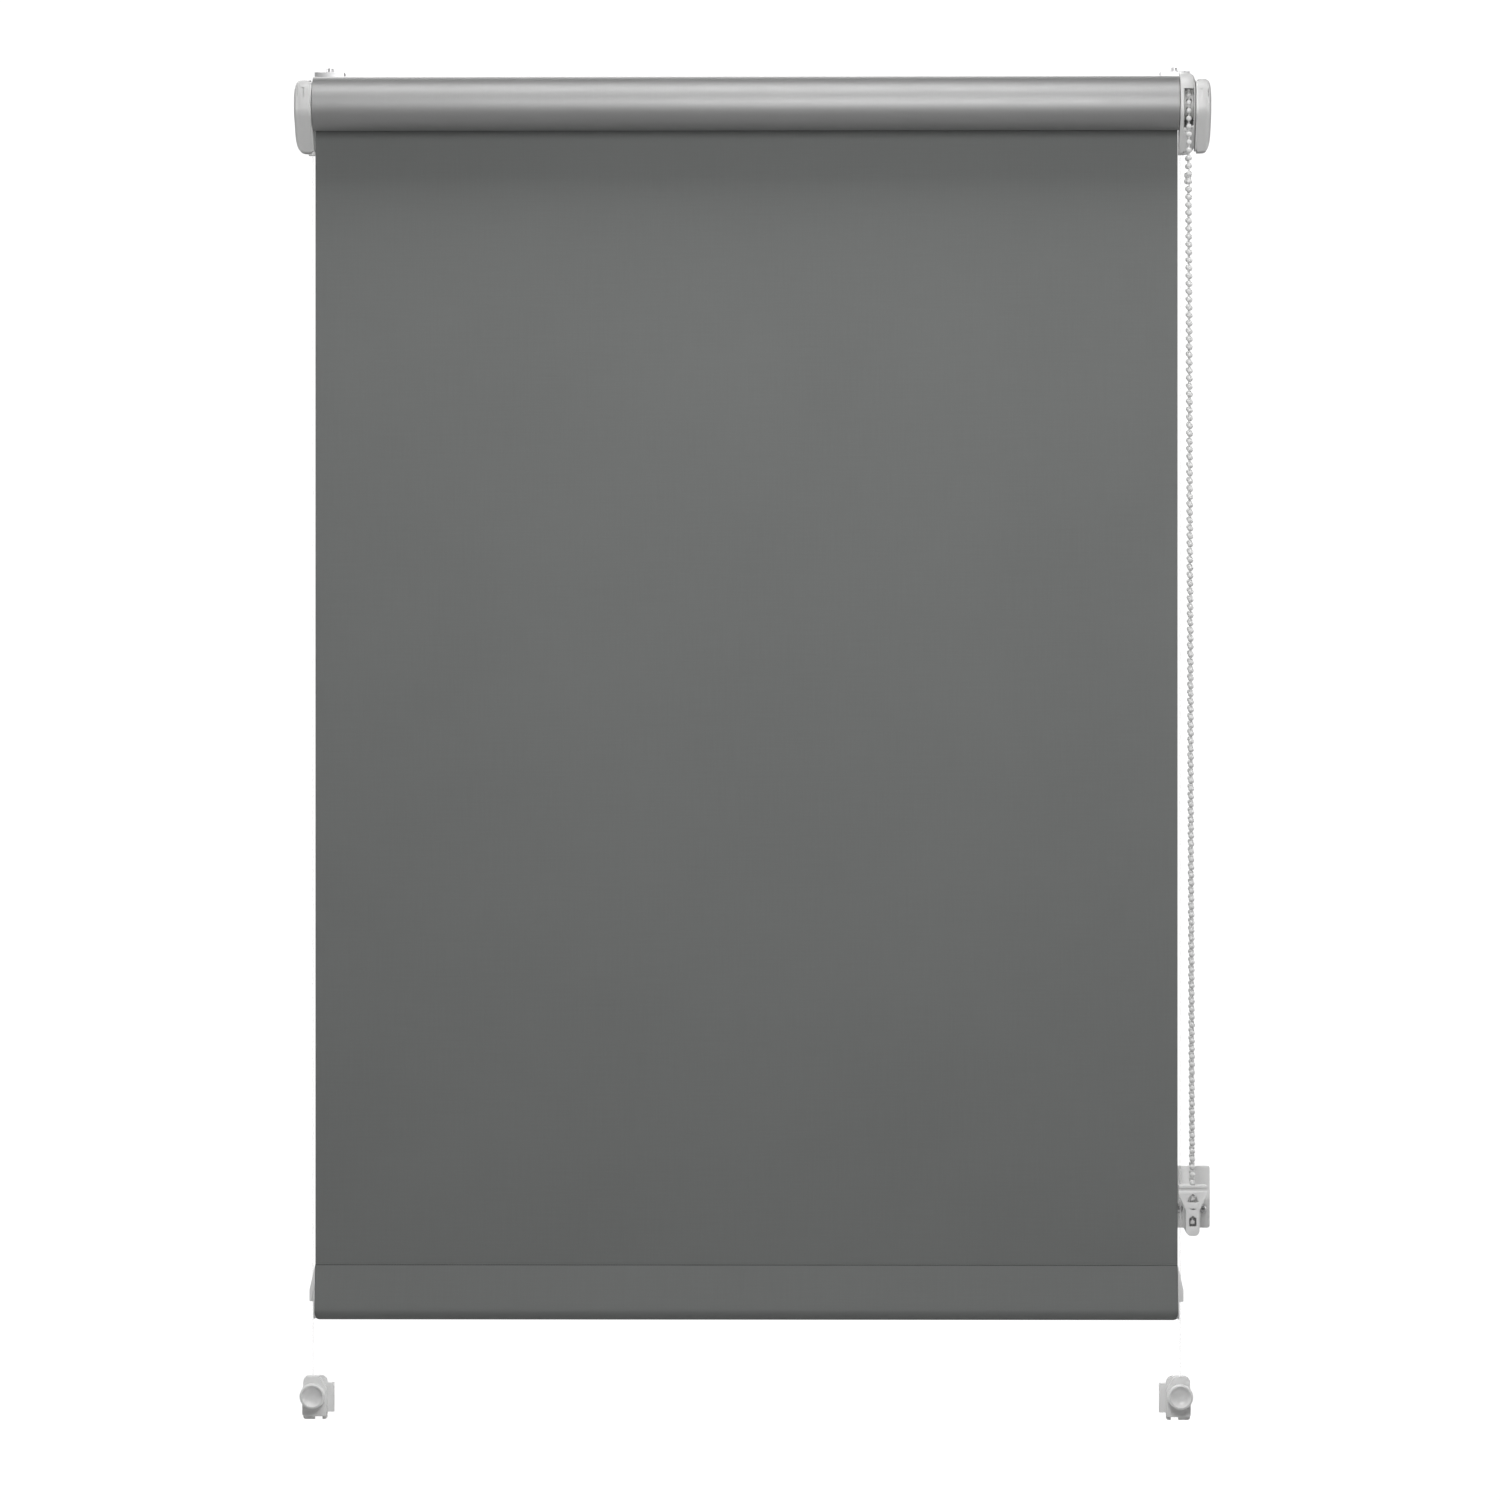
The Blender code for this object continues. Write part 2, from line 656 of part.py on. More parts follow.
def make_right_bracket(parts, helpers):
    """The drive side's bracket base with the square socket, its cover and the chain housing."""
    inner = inset(cover_outline(), COVER_WALL + GAP)
    span = (RIGHT_PLATE_X, RIGHT_PLATE_X + SIDE_PLATE)
    base = extruded("bracket_base_right", inner, "X", *span, parts)
    rim = RIGHT_PLATE_X + COVER_SETBACK
    back = base_back_plate("back_plate", "right", 1, rim - GAP, helpers)
    half = AXLE_SQUARE / 2 + RUNNING_GAP
    socket = box(
        "axle_socket",
        (span[0] - CUT, span[1] + CUT),
        (AXIS_Y - half, AXIS_Y + half),
        (AXIS_Z - half, AXIS_Z + half),
        helpers,
    )
    combine(base, [back], "UNION")
    combine(base, [socket], "DIFFERENCE")
    dress(base, WHITE_PLASTIC)
    make_cover("right", 1, rim, rim + COVER_WIDTH_RIGHT, parts, helpers)

    housing = extruded("chain_housing", housing_outline(), "X", BASE_X, HOUSING_OUT, parts)
    inside = inset(housing_outline(), HOUSING_WALL)
    hollow = extruded(
        "housing_hollow", inside, "X", BASE_X + HOUSING_WALL, HOUSING_OUT + CUT, helpers
    )
    foot = foot_box("wire_foot_right", 1, 0, helpers)
    neck = AXLE_RADIUS + SPRING_SPACE + SLEEVE_WALL + 2 * GAP
    neck_hole = cylinder(
        "neck_hole",
        "X",
        (AXIS_Y, AXIS_Z),
        BASE_X - CUT,
        BASE_X + HOUSING_WALL + CUT,
        neck,
        helpers,
    )
    slot_x = (CHAIN_X - SLOT_WIDTH / 2, CHAIN_X + SLOT_WIDTH / 2)
    front_y = AXIS_Y - PITCH_RADIUS
    rear_y = AXIS_Y + PITCH_RADIUS
    below = AXIS_Z - HOUSING_BOTTOM - CUT
    front_slot = box(
        "front_slot",
        slot_x,
        (HOUSING_FRONT - CUT, front_y + CORD_RADIUS + SLOT_MARGIN),
        (below, -SLOT_TOP_DROP),
        helpers,
    )
    rear_slot = box(
        "rear_slot",
        slot_x,
        (rear_y - CORD_RADIUS - SLOT_MARGIN, rear_y + CORD_RADIUS + SLOT_MARGIN),
        (below, AXIS_Z - HOUSING_BOTTOM + REAR_SLOT_HEIGHT),
        helpers,
    )
    combine(housing, [hollow], "DIFFERENCE")
    combine(housing, [foot], "UNION")
    cutters = [neck_hole, front_slot, rear_slot, *wire_holes("right", 1, helpers)]
    combine(housing, cutters, "DIFFERENCE")
    dress(housing, WHITE_PLASTIC)


def make_drive(parts, helpers):
    """The chain drive: fixed axle and its screw, wrap spring, sprocket and the tube's hub."""
    centre = (0, AXIS_Y, AXIS_Z)
    start = HOUSING_OUT - AXLE_LENGTH
    axis = (AXIS_Y, AXIS_Z)
    axle = cylinder("core_axle", "X", axis, start, HOUSING_OUT, AXLE_RADIUS, parts, 24)
    half = AXLE_SQUARE / 2
    stub = box(
        "axle_stub",
        (HOUSING_OUT - CUT, RIGHT_PLATE_X + SIDE_PLATE),
        (AXIS_Y - half, AXIS_Y + half),
        (AXIS_Z - half, AXIS_Z + half),
        helpers,
    )
    screw_start = HOUSING_OUT - AXLE_SCREW_REACH
    thread = cylinder(
        "axle_thread",
        "X",
        axis,
        screw_start - GAP,
        RIGHT_PLATE_X + SIDE_PLATE + CUT,
        AXLE_SCREW_RADIUS + RUNNING_GAP,
        helpers,
    )
    combine(axle, [stub], "UNION")
    combine(axle, [thread], "DIFFERENCE")
    dress(axle, CLEAR_GREY)

    seat = RIGHT_PLATE_X + SIDE_PLATE + GAP
    profile = [
        (seat + AXLE_HEAD_HEIGHT, 0),
        (seat + AXLE_HEAD_HEIGHT, AXLE_HEAD_TOP_RADIUS),
        (seat + AXLE_HEAD_EDGE, AXLE_HEAD_RADIUS),
        (seat, AXLE_HEAD_RADIUS),
        (seat, AXLE_SCREW_RADIUS),
        (screw_start, AXLE_SCREW_RADIUS),
        (screw_start, 0),
    ]
    screw = turned("axle_screw", profile, "X", centre, parts, SMALL_SEGMENTS)
    dress(screw, STEEL)

    sleeve_in = AXLE_RADIUS + SPRING_SPACE
    sleeve_out = sleeve_in + SLEEVE_WALL
    bore = AXLE_RADIUS + RUNNING_GAP
    left = CHAIN_X - SPROCKET_WIDTH / 2
    right = CHAIN_X + SPROCKET_WIDTH / 2
    groove = PITCH_RADIUS - CORD_RADIUS - GAP
    sprocket = turned(
        "chain_sprocket",
        [
            (right, RIM_RADIUS),
            (CHAIN_X + GROOVE_WIDTH / 2, RIM_RADIUS),
            (CHAIN_X + GROOVE_WIDTH / 2, groove),
            (CHAIN_X - GROOVE_WIDTH / 2, groove),
            (CHAIN_X - GROOVE_WIDTH / 2, RIM_RADIUS),
            (left, RIM_RADIUS),
            (left, sleeve_out),
            (left - SLEEVE_LENGTH, sleeve_out),
            (left - SLEEVE_LENGTH, sleeve_in),
            (left, sleeve_in),
            (left, bore),
            (right, bore),
        ],
        "X",
        centre,
        parts,
    )
    dress(sprocket, CLEAR_GREY)

    hub_end = BASE_X - END_GAP
    lip = hub_end - GAP
    mouth = TUBE_HALF
    chamber = sleeve_out + GAP
    far = mouth - HUB_LENGTH
    wall = far + HUB_WALL
    hub = turned(
        "drive_hub",
        [
            (lip, HUB_RADIUS + LIP_HEIGHT),
            (mouth + GAP, HUB_RADIUS + LIP_HEIGHT),
            (mouth + GAP, HUB_RADIUS),
            (far, HUB_RADIUS),
            (far, bore),
            (wall, bore),
            (wall, chamber),
            (lip, chamber),
        ],
        "X",
        centre,
        parts,
    )
    dress(hub, CLEAR_GREY)

    room = (wall + SPRING_MARGIN, left - SPRING_MARGIN)
    spring = coil("wrap_spring", centre, room, AXLE_RADIUS + SPRING_SPACE / 2, WRAP_WIRE, parts)
    dress(spring, STEEL)
    return sprocket, hub


def coil(name, centre, span, radius, thickness, parts):
    """A coil spring along X with its ends open."""
    steps = COIL_STEPS * SPRING_TURNS
    points = []
    for step in range(steps + 1):
        angle = 2 * math.pi * step / COIL_STEPS
        x = span[0] + thickness + (span[1] - span[0] - 2 * thickness) * step / steps
        y = centre[1] + radius * math.cos(angle)
        z = centre[2] + radius * math.sin(angle)
        points.append((x, y, z))
    return wire(name, points, thickness, parts, 1)


def make_idle_end(parts):
    """The idle side's plug in the tube, its sprung pin and the spring."""
    centre = (0, AXIS_Y, AXIS_Z)
    lip = -(BASE_X - END_GAP - GAP)
    mouth = -TUBE_HALF
    wall = mouth + PLUG_FRONT_WALL
    far = mouth + PLUG_LENGTH
    back_wall = far - PLUG_WALL
    plug = turned(
        "idle_plug",
        [
            (far, PIN_TAIL_RADIUS + GAP),
            (far, HUB_RADIUS),
            (mouth - GAP, HUB_RADIUS),
            (mouth - GAP, HUB_RADIUS + LIP_HEIGHT),
            (lip, HUB_RADIUS + LIP_HEIGHT),
            (lip, PIN_RADIUS + RUNNING_GAP),
            (wall, PIN_RADIUS + RUNNING_GAP),
            (wall, PLUG_CHAMBER_RADIUS),
            (back_wall, PLUG_CHAMBER_RADIUS),
            (back_wall, PIN_TAIL_RADIUS + GAP),
        ],
        "X",
        centre,
        parts,
    )
    dress(plug, CLEAR_GREY)

    tip = -(BASE_X + SIDE_PLATE + PIN_TIP_PAST_PLATE)
    collar = wall + GAP
    tail = far - PIN_TAIL_INSET
    pin = turned(
        "idle_pin",
        [
            (tail, 0),
            (tail, PIN_TAIL_RADIUS),
            (collar + PIN_COLLAR, PIN_TAIL_RADIUS),
            (collar + PIN_COLLAR, PIN_COLLAR_RADIUS),
            (collar, PIN_COLLAR_RADIUS),
            (collar, PIN_RADIUS),
            (tip + PIN_CHAMFER, PIN_RADIUS),
            (tip, PIN_RADIUS - PIN_CHAMFER),
            (tip, 0),
        ],
        "X",
        centre,
        parts,
        SMALL_SEGMENTS,
    )
    dress(pin, STEEL)
    room = (collar + PIN_COLLAR + GAP, back_wall - GAP)
    middle = (PIN_TAIL_RADIUS + PLUG_CHAMBER_RADIUS) / 2
    spring = coil("pin_spring", centre, room, middle, PIN_WIRE, parts)
    dress(spring, STEEL)
    return plug, pin, spring


def make_roller(parts):
    """The aluminium tube, the tape that holds the fabric, and the wound fabric."""
    centre = (0, AXIS_Y, AXIS_Z)
    inner = TUBE_RADIUS - TUBE_WALL
    core = tube(
        "roller_tube", "X", centre, -TUBE_HALF, TUBE_HALF, TUBE_RADIUS, inner, parts
    )
    dress(core, ALUMINIUM)

    low = TUBE_RADIUS + GAP
    high = low + TAPE_THICKNESS
    reach = TAPE_WIDTH / 2 / low
    steps = 8
    angles = [math.pi / 2 - reach + 2 * reach * n / steps for n in range(steps + 1)]
    arc = [(high, a) for a in angles] + [(low, a) for a in reversed(angles)]
    outline = [(AXIS_Y + r * math.cos(a), AXIS_Z + r * math.sin(a), 0) for r, a in arc]
    tape = extruded("fabric_tape", outline, "X", -HALF_WIDTH, HALF_WIDTH, parts)
    dress(tape, NYLON)

    roll = tube(
        "fabric_roll",
        "X",
        centre,
        -HALF_WIDTH,
        HALF_WIDTH,
        ROLL_RADIUS,
        high + GAP,
        parts,
        48,
    )
    dress(roll, SILVER_CLOTH)
    return core, tape, roll


def make_fabric_drop(parts):
    """The hanging fabric, from the back of the roll down to the hem seam."""
    x = (-HALF_WIDTH, HALF_WIDTH)
    y = (FABRIC_FRONT, FABRIC_FRONT + FABRIC_THICKNESS)
    drop = box("fabric_drop", x, y, (SEAM_Z + GAP, AXIS_Z), parts)
    dress(drop, GREY_CLOTH)


def make_bottom_bar(parts, helpers):
    """The hem pocket, the weight bar in it, and the end caps that ride on the wires."""
    outer = pocket_outline()
    ends = (-HALF_WIDTH, HALF_WIDTH)
    pocket = extruded("hem_pocket", outer, "X", *ends, parts)
    inner = inset(outer, FABRIC_THICKNESS)
    hollow = extruded(
        "pocket_hollow", inner, "X", ends[0] - CUT, ends[1] + CUT, helpers
    )
    combine(pocket, [hollow], "DIFFERENCE")
    dress(pocket, GREY_CLOTH)

    section = cut_top(inset(outer, FABRIC_THICKNESS + GAP), BAR_TOP_SHARE)
    bar = extruded("weight_bar", section, "X", *ends, parts)
    bore = inset(section, BAR_WALL)
    core = extruded("bar_bore", bore, "X", ends[0] - CUT, ends[1] + CUT, helpers)
    combine(bar, [core], "DIFFERENCE")
    dress(bar, ALUMINIUM)

    pieces = [pocket, bar]
    plate_shape = cut_top(inset(outer, FABRIC_THICKNESS), CAP_TOP_SHARE)
    plug_shape = inset(bore, GAP)
    for label, side in SIDES.items():
        start = HALF_WIDTH + GAP
        span = mirrored((start, start + CAP_PLATE), side)
        cap = extruded(f"bar_cap_{label}", plate_shape, "X", *span, parts)
        plug_span = mirrored((start - CAP_PLUG, start + CAP_PLATE / 2), side)
        plug = extruded(f"cap_plug_{label}", plug_shape, "X", *plug_span, helpers)
        top = SEAM_Z - EAR_TOP_DROP
        ear_shape = [
            (side * start, top, 0),
            (side * (start + EAR_REACH), top - EAR_SLOPE, 0.001),
            (side * (start + EAR_REACH), top - EAR_HEIGHT, 0.0008),
            (side * start, top - EAR_HEIGHT, 0),
        ]
        ear_y = (WIRE_Y + EAR_DEPTH / 2, WIRE_Y - EAR_DEPTH / 2)
        ear = extruded(f"cap_ear_{label}", ear_shape, "Y", *ear_y, helpers)
        at = (side * WIRE_X, WIRE_Y)
        eye = cylinder(
            f"cap_eye_{label}",
            "Z",
            at,
            top - POCKET_HEIGHT,
            top + CUT,
            WIRE_HOLE_RADIUS,
            helpers,
        )
        combine(cap, [plug, ear], "UNION")
        combine(cap, [eye], "DIFFERENCE")
        dress(cap, WHITE_PLASTIC)
        pieces.append(cap)
    pivot = empty_at("bar_lift", (0, FABRIC_FRONT, SEAM_Z), parts)
    hang_on(pivot, pieces)


def make_guide(label, side, parts, helpers):
    """A nylon guide wire, its crimped anchor and the tensioner that holds its lower end."""
    x = side * WIRE_X
    end = KNOB_Z + SPINDLE_RADIUS + 2 * GAP
    at = (x, WIRE_Y)
    line = cylinder(
        f"guide_wire_{label}", "Z", at, end, ANCHOR_TOP_Z - WIRE_RADIUS, WIRE_RADIUS, parts, 8
    )
    dress(line, NYLON)
    anchor = tube(
        f"wire_anchor_{label}",
        "Z",
        (x, WIRE_Y, 0),
        ANCHOR_TOP_Z - ANCHOR_LENGTH,
        ANCHOR_TOP_Z,
        ANCHOR_RADIUS,
        WIRE_RADIUS + RUNNING_GAP,
        parts,
        16,
    )
    dress(anchor, ALUMINIUM)

    centre = x + side * TENSIONER_OFFSET
    half = TENSIONER_WIDTH / 2
    left, right = centre - half, centre + half
    top, bottom = TENSIONER_TOP_Z, TENSIONER_TOP_Z - TENSIONER_HEIGHT
    plate_shape = [
        (left, bottom, 0.002),
        (right, bottom, 0.002),
        (right, top, TENSIONER_CORNER),
        (left, top, TENSIONER_CORNER),
    ]
    flange_x = tuple(sorted((centre, centre - side * (half + TENSIONER_FLANGE))))
    flange_z = (bottom + FLANGE_RISE, top - FLANGE_DROP)
    middle = centre - side * TENSIONER_FLANGE / 2
    notch_x = (middle - NOTCH_WIDTH / 2, middle + NOTCH_WIDTH / 2)
    notch_z = (bottom - CUT, bottom + NOTCH_HEIGHT)
    seat = -TENSIONER_PAD - GAP
    layers = {
        "tension_pad": (0, -TENSIONER_PAD, FOAM),
        "tension_base": (seat, seat - TENSIONER_BASE, WHITE_PLASTIC),
    }
    for name, (back, front, finish) in layers.items():
        plate = extruded(f"{name}_{label}", plate_shape, "Y", back, front, parts)
        y = (front, back)
        flange = box(f"{name}_flange_{label}", flange_x, y, flange_z, helpers)
        deep = (front - CUT, back + CUT)
        notch = box(f"{name}_notch_{label}", notch_x, deep, notch_z, helpers)
        combine(plate, [flange], "UNION")
        combine(plate, [notch], "DIFFERENCE")
        dress(plate, finish)

    back = -(TENSIONER_PAD + TENSIONER_BASE + 2 * GAP)
    knee = top - TENSIONER_KNEE
    dome = [
        (left, bottom + DOME_RISE, 0.002),
        (right, bottom + DOME_RISE, 0.002),
        (right, knee, TENSIONER_CORNER),
        (x + half * DOME_TOP_SHARE, top, 0.002),
        (x - half * DOME_TOP_SHARE, top, 0.002),
        (left, knee, TENSIONER_CORNER),
    ]
    housing = extruded(f"tension_housing_{label}", dome, "Y", back, TENSIONER_FRONT, parts)
    bore = cylinder(
        f"spindle_bore_{label}",
        "Y",
        (x, KNOB_Z),
        TENSIONER_FRONT - CUT,
        back - SPINDLE_SEAT,
        SPINDLE_RADIUS + RUNNING_GAP,
        helpers,
    )
    wire_hole = cylinder(
        f"tension_hole_{label}", "Z", at, KNOB_Z, top + CUT, WIRE_HOLE_RADIUS, helpers
    )
    combine(housing, [bore, wire_hole], "DIFFERENCE")
    dress(housing, WHITE_PLASTIC)
    make_knob(label, (x, 0, KNOB_Z), back, parts)


def make_knob(label, centre, back, parts):
    """A dished tension knob on its metal spindle."""
    start = -(TENSIONER_FRONT - GAP)
    end = start + KNOB_LENGTH
    bore = SPINDLE_RADIUS + RUNNING_GAP
    depth = end - KNOB_FACE
    knob = turned(
        f"tension_knob_{label}",
        [
            (end - DISH_DEPTH, 0),
            (end - DISH_DEPTH, DISH_RADIUS * DISH_FLAT_SHARE),
            (end, DISH_RADIUS),
            (end, KNOB_RADIUS - KNOB_CHAMFER),
            (end - KNOB_CHAMFER, KNOB_RADIUS),
            (start, KNOB_RADIUS),
            (start, bore),
            (depth, bore),
            (depth, 0),
        ],
        "Y",
        centre,
        parts,
        32,
    )
    dress(knob, WHITE_PLASTIC)
    far = -(back - SPINDLE_SEAT) + GAP
    near = depth - GAP
    profile = [(near, 0), (near, SPINDLE_RADIUS), (far, SPINDLE_RADIUS), (far, 0)]
    spindle = turned(
        f"tension_spindle_{label}", profile, "Y", centre, parts, SMALL_SEGMENTS
    )
    dress(spindle, STEEL)
    pivot = empty_at(f"knob_turn_{label}", (centre[0], 0, centre[2]), parts)
    hang_on(pivot, [knob, spindle])


def chain_route():
    """The middle line of the bead chain: over the sprocket, down, and round in the holder.

    The loop is open where the connector joins its ends, on the strand nearer the sash.
    """
    points = []
    front_y = AXIS_Y - PITCH_RADIUS
    rear_y = AXIS_Y + PITCH_RADIUS
    join_top = AXIS_Z - CONNECTOR_DROP
    join_bottom = join_top - CONNECTOR_LENGTH

    def rear_point(z):
        share = (AXIS_Z - z) / CHAIN_HOLD_DROP
        y = rear_y + (CHAIN_HOLD_Y + CHAIN_HOLD_RADIUS - rear_y) * share
        return (CHAIN_X + CHAIN_END_DRIFT * share, y, z)

    points.append(rear_point(join_top + GAP))
    for step in range(17):
        angle = math.pi * step / 16
        y = AXIS_Y + PITCH_RADIUS * math.cos(angle)
        z = AXIS_Z + PITCH_RADIUS * math.sin(angle)
        points.append((CHAIN_X, y, z))
    runs = 8
    for step in range(1, runs):
        share = step / runs
        y = front_y + (CHAIN_HOLD_Y - CHAIN_HOLD_RADIUS - front_y) * share
        x = CHAIN_X + CHAIN_END_DRIFT * share
        points.append((x, y, AXIS_Z - CHAIN_HOLD_DROP * share))
    for step in range(11):
        angle = math.pi + math.pi * step / 10
        y = CHAIN_HOLD_Y + CHAIN_HOLD_RADIUS * math.cos(angle)
        z = CHAIN_END_Z + CHAIN_HOLD_RADIUS * math.sin(angle)
        points.append((CHAIN_END_X, y, z))
    low = CHAIN_END_Z
    high = join_bottom - GAP
    for step in range(1, runs + 1):
        points.append(rear_point(low + (high - low) * step / runs))
    return points, rear_point((join_top + join_bottom) / 2)


def make_chain(parts):
    """The endless bead chain, drawn as its outer tube, and the clip that joins it."""
    points, joint = chain_route()
    chain = wire("bead_chain", points, CORD_RADIUS, parts)
    dress(chain, NYLON)
    half = CONNECTOR_LENGTH / 2
    clip = cylinder(
        "chain_connector",
        "Z",
        joint[:2],
        joint[2] - half,
        joint[2] + half,
        CONNECTOR_RADIUS,
        parts,
        16,
    )
    dress(clip, NYLON)


def make_chain_holder(parts, helpers):
    """The child-safety holder: a screwed plate and the funnel that keeps the chain taut."""
    x = CHAIN_END_X
    top = HOLDER_TOP_Z
    bottom = top - HOLDER_PLATE_HEIGHT
    half = HOLDER_PLATE_WIDTH / 2
    outline = [
        (x - half, bottom, 0.002),
        (x + half, bottom, 0.002),
        (x + half, top, 0.002),
        (x - half, top, 0.002),
    ]
    plate = extruded("holder_plate", outline, "Y", 0, -HOLDER_PLATE, parts)
    screw_z = top - HOLDER_SCREW_DROP
    at = [(x + share * HOLDER_SCREW_SPACING / 2, screw_z) for share in (-1, 1)]
    holes = [
        cylinder(
            f"holder_hole_{n}",
            "Y",
            place,
            -HOLDER_PLATE - CUT,
            CUT,
            HOLDER_SCREW_RADIUS + GAP,
            helpers,
        )
        for n, place in enumerate(at)
    ]
    combine(plate, holes, "DIFFERENCE")
    dress(plate, WHITE_PLASTIC)

    seat = HOLDER_PLATE + GAP
    profile = [
        (seat + HOLDER_HEAD_HEIGHT, 0),
        (seat + HOLDER_HEAD_HEIGHT, HOLDER_HEAD_RADIUS * 0.5),
        (seat + HOLDER_HEAD_HEIGHT * 0.5, HOLDER_HEAD_RADIUS * 0.9),
        (seat, HOLDER_HEAD_RADIUS),
        (seat, HOLDER_SCREW_RADIUS),
        (GAP, HOLDER_SCREW_RADIUS),
        (GAP, 0),
    ]
    screws = [
        turned(f"holder_screw_{n}", profile, "Y", (u, 0, v), parts, 16)
        for n, (u, v) in enumerate(at)
    ]
    for screw in screws:
        dress(screw, STEEL)

    mouth = HOLDER_MOUTH_WIDTH / 2
    throat = HOLDER_THROAT_WIDTH / 2
    low = CHAIN_END_Z - CHAIN_HOLD_RADIUS - HOLDER_BELOW_CHAIN
    shape = [
        (x - throat, low, 0.004),
        (x + throat, low, 0.004),
        (x + throat, top - HOLDER_THROAT_DROP, 0.001),
        (x + mouth, top - HOLDER_MOUTH_DROP, 0.001),
        (x + mouth, top - HOLDER_RIDGE_DROP, 0.0005),
        (x - mouth, top - HOLDER_RIDGE_DROP, 0.0005),
        (x - mouth, top - HOLDER_MOUTH_DROP, 0.001),
        (x - throat, top - HOLDER_THROAT_DROP, 0.001),
    ]
    back = CHAIN_HOLD_Y + HOLDER_DEPTH / 2
    front = CHAIN_HOLD_Y - HOLDER_DEPTH / 2
    funnel = extruded("chain_holder", shape, "Y", back, front, parts)
    stem_top = top - HOLDER_RIDGE_DROP
    stem = box(
        "holder_stem",
        (x - STEM_WIDTH / 2, x + STEM_WIDTH / 2),
        (back - HOLDER_WALL / 2, -(HOLDER_PLATE + GAP)),
        (stem_top - STEM_HEIGHT, stem_top - HOLDER_WALL),
        helpers,
    )
    inner_mouth = mouth - HOLDER_WALL
    channel = CHANNEL_WIDTH / 2
    hollow = [
        (x - channel, low + HOLDER_FLOOR, HOLDER_FLOOR),
        (x + channel, low + HOLDER_FLOOR, HOLDER_FLOOR),
        (x + channel, top - HOLDER_THROAT_DROP, 0),
        (x + inner_mouth, top - HOLDER_MOUTH_DROP, 0),
        (x + inner_mouth, top, 0),
        (x - inner_mouth, top, 0),
        (x - inner_mouth, top - HOLDER_MOUTH_DROP, 0),
        (x - channel, top - HOLDER_THROAT_DROP, 0),
    ]
    space = extruded(
        "holder_space", hollow, "Y", back - HOLDER_WALL, front + HOLDER_WALL, helpers
    )
    combine(funnel, [stem], "UNION")
    combine(funnel, [space], "DIFFERENCE")
    dress(funnel, WHITE_PLASTIC)


def main():
    """Build the whole blind."""
    clear_scene()
    parts = collection("roller_blind")
    helpers = collection("cutters")
    for label, side in SIDES.items():
        make_clamp(label, side, parts, helpers)
        make_guide(label, side, parts, helpers)
    make_left_bracket(parts, helpers)
    make_right_bracket(parts, helpers)
    sprocket, hub = make_drive(parts, helpers)
    plug, pin, spring = make_idle_end(parts)
    turning = make_roller(parts)
    make_fabric_drop(parts)
    make_bottom_bar(parts, helpers)
    make_chain(parts)
    make_chain_holder(parts, helpers)
    axis = empty_at("roller_axis", (0, AXIS_Y, AXIS_Z), parts)
    hang_on(axis, [sprocket, hub, plug, pin, spring, *turning])


main()
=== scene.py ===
"""Dresses the clamp-on roller blind: cloth, moulded covers, bead chain, wires and tensioners."""

import logging
import math
from dataclasses import dataclass
from enum import Enum
from itertools import accumulate
from typing import Callable, Sequence

import bmesh
import bpy
from mathutils import Euler, Matrix, Vector, noise


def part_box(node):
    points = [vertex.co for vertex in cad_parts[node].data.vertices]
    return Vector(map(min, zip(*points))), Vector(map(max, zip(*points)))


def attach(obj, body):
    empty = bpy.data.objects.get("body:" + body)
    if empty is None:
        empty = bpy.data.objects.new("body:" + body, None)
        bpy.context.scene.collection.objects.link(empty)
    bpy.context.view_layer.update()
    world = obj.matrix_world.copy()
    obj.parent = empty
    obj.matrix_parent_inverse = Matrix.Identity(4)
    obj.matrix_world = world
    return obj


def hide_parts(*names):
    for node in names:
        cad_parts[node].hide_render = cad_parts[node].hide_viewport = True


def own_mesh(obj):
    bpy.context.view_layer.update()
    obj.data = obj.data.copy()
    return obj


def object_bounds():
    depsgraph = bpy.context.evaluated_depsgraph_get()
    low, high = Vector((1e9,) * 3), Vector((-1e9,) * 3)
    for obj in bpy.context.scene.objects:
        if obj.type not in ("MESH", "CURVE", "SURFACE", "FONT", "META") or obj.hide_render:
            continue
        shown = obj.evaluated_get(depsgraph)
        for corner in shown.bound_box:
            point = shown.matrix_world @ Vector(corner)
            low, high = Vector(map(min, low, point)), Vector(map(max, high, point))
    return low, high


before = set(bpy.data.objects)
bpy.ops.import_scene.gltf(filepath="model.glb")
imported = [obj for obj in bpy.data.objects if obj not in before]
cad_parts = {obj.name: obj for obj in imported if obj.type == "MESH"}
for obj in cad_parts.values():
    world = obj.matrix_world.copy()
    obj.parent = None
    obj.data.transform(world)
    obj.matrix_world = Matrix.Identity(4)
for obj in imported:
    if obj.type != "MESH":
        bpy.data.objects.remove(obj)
CAD_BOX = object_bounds()
LOG = logging.getLogger("roller_blind")

Outline = list[tuple[float, float]]
Corner = tuple[float, float, float]
Colour = tuple[float, float, float]
Sockets = dict[str, bpy.types.NodeSocket]
Material = bpy.types.Material
Mesh = bpy.types.Mesh
Node = bpy.types.Node
Piece = bpy.types.Object
Socket = bpy.types.NodeSocket

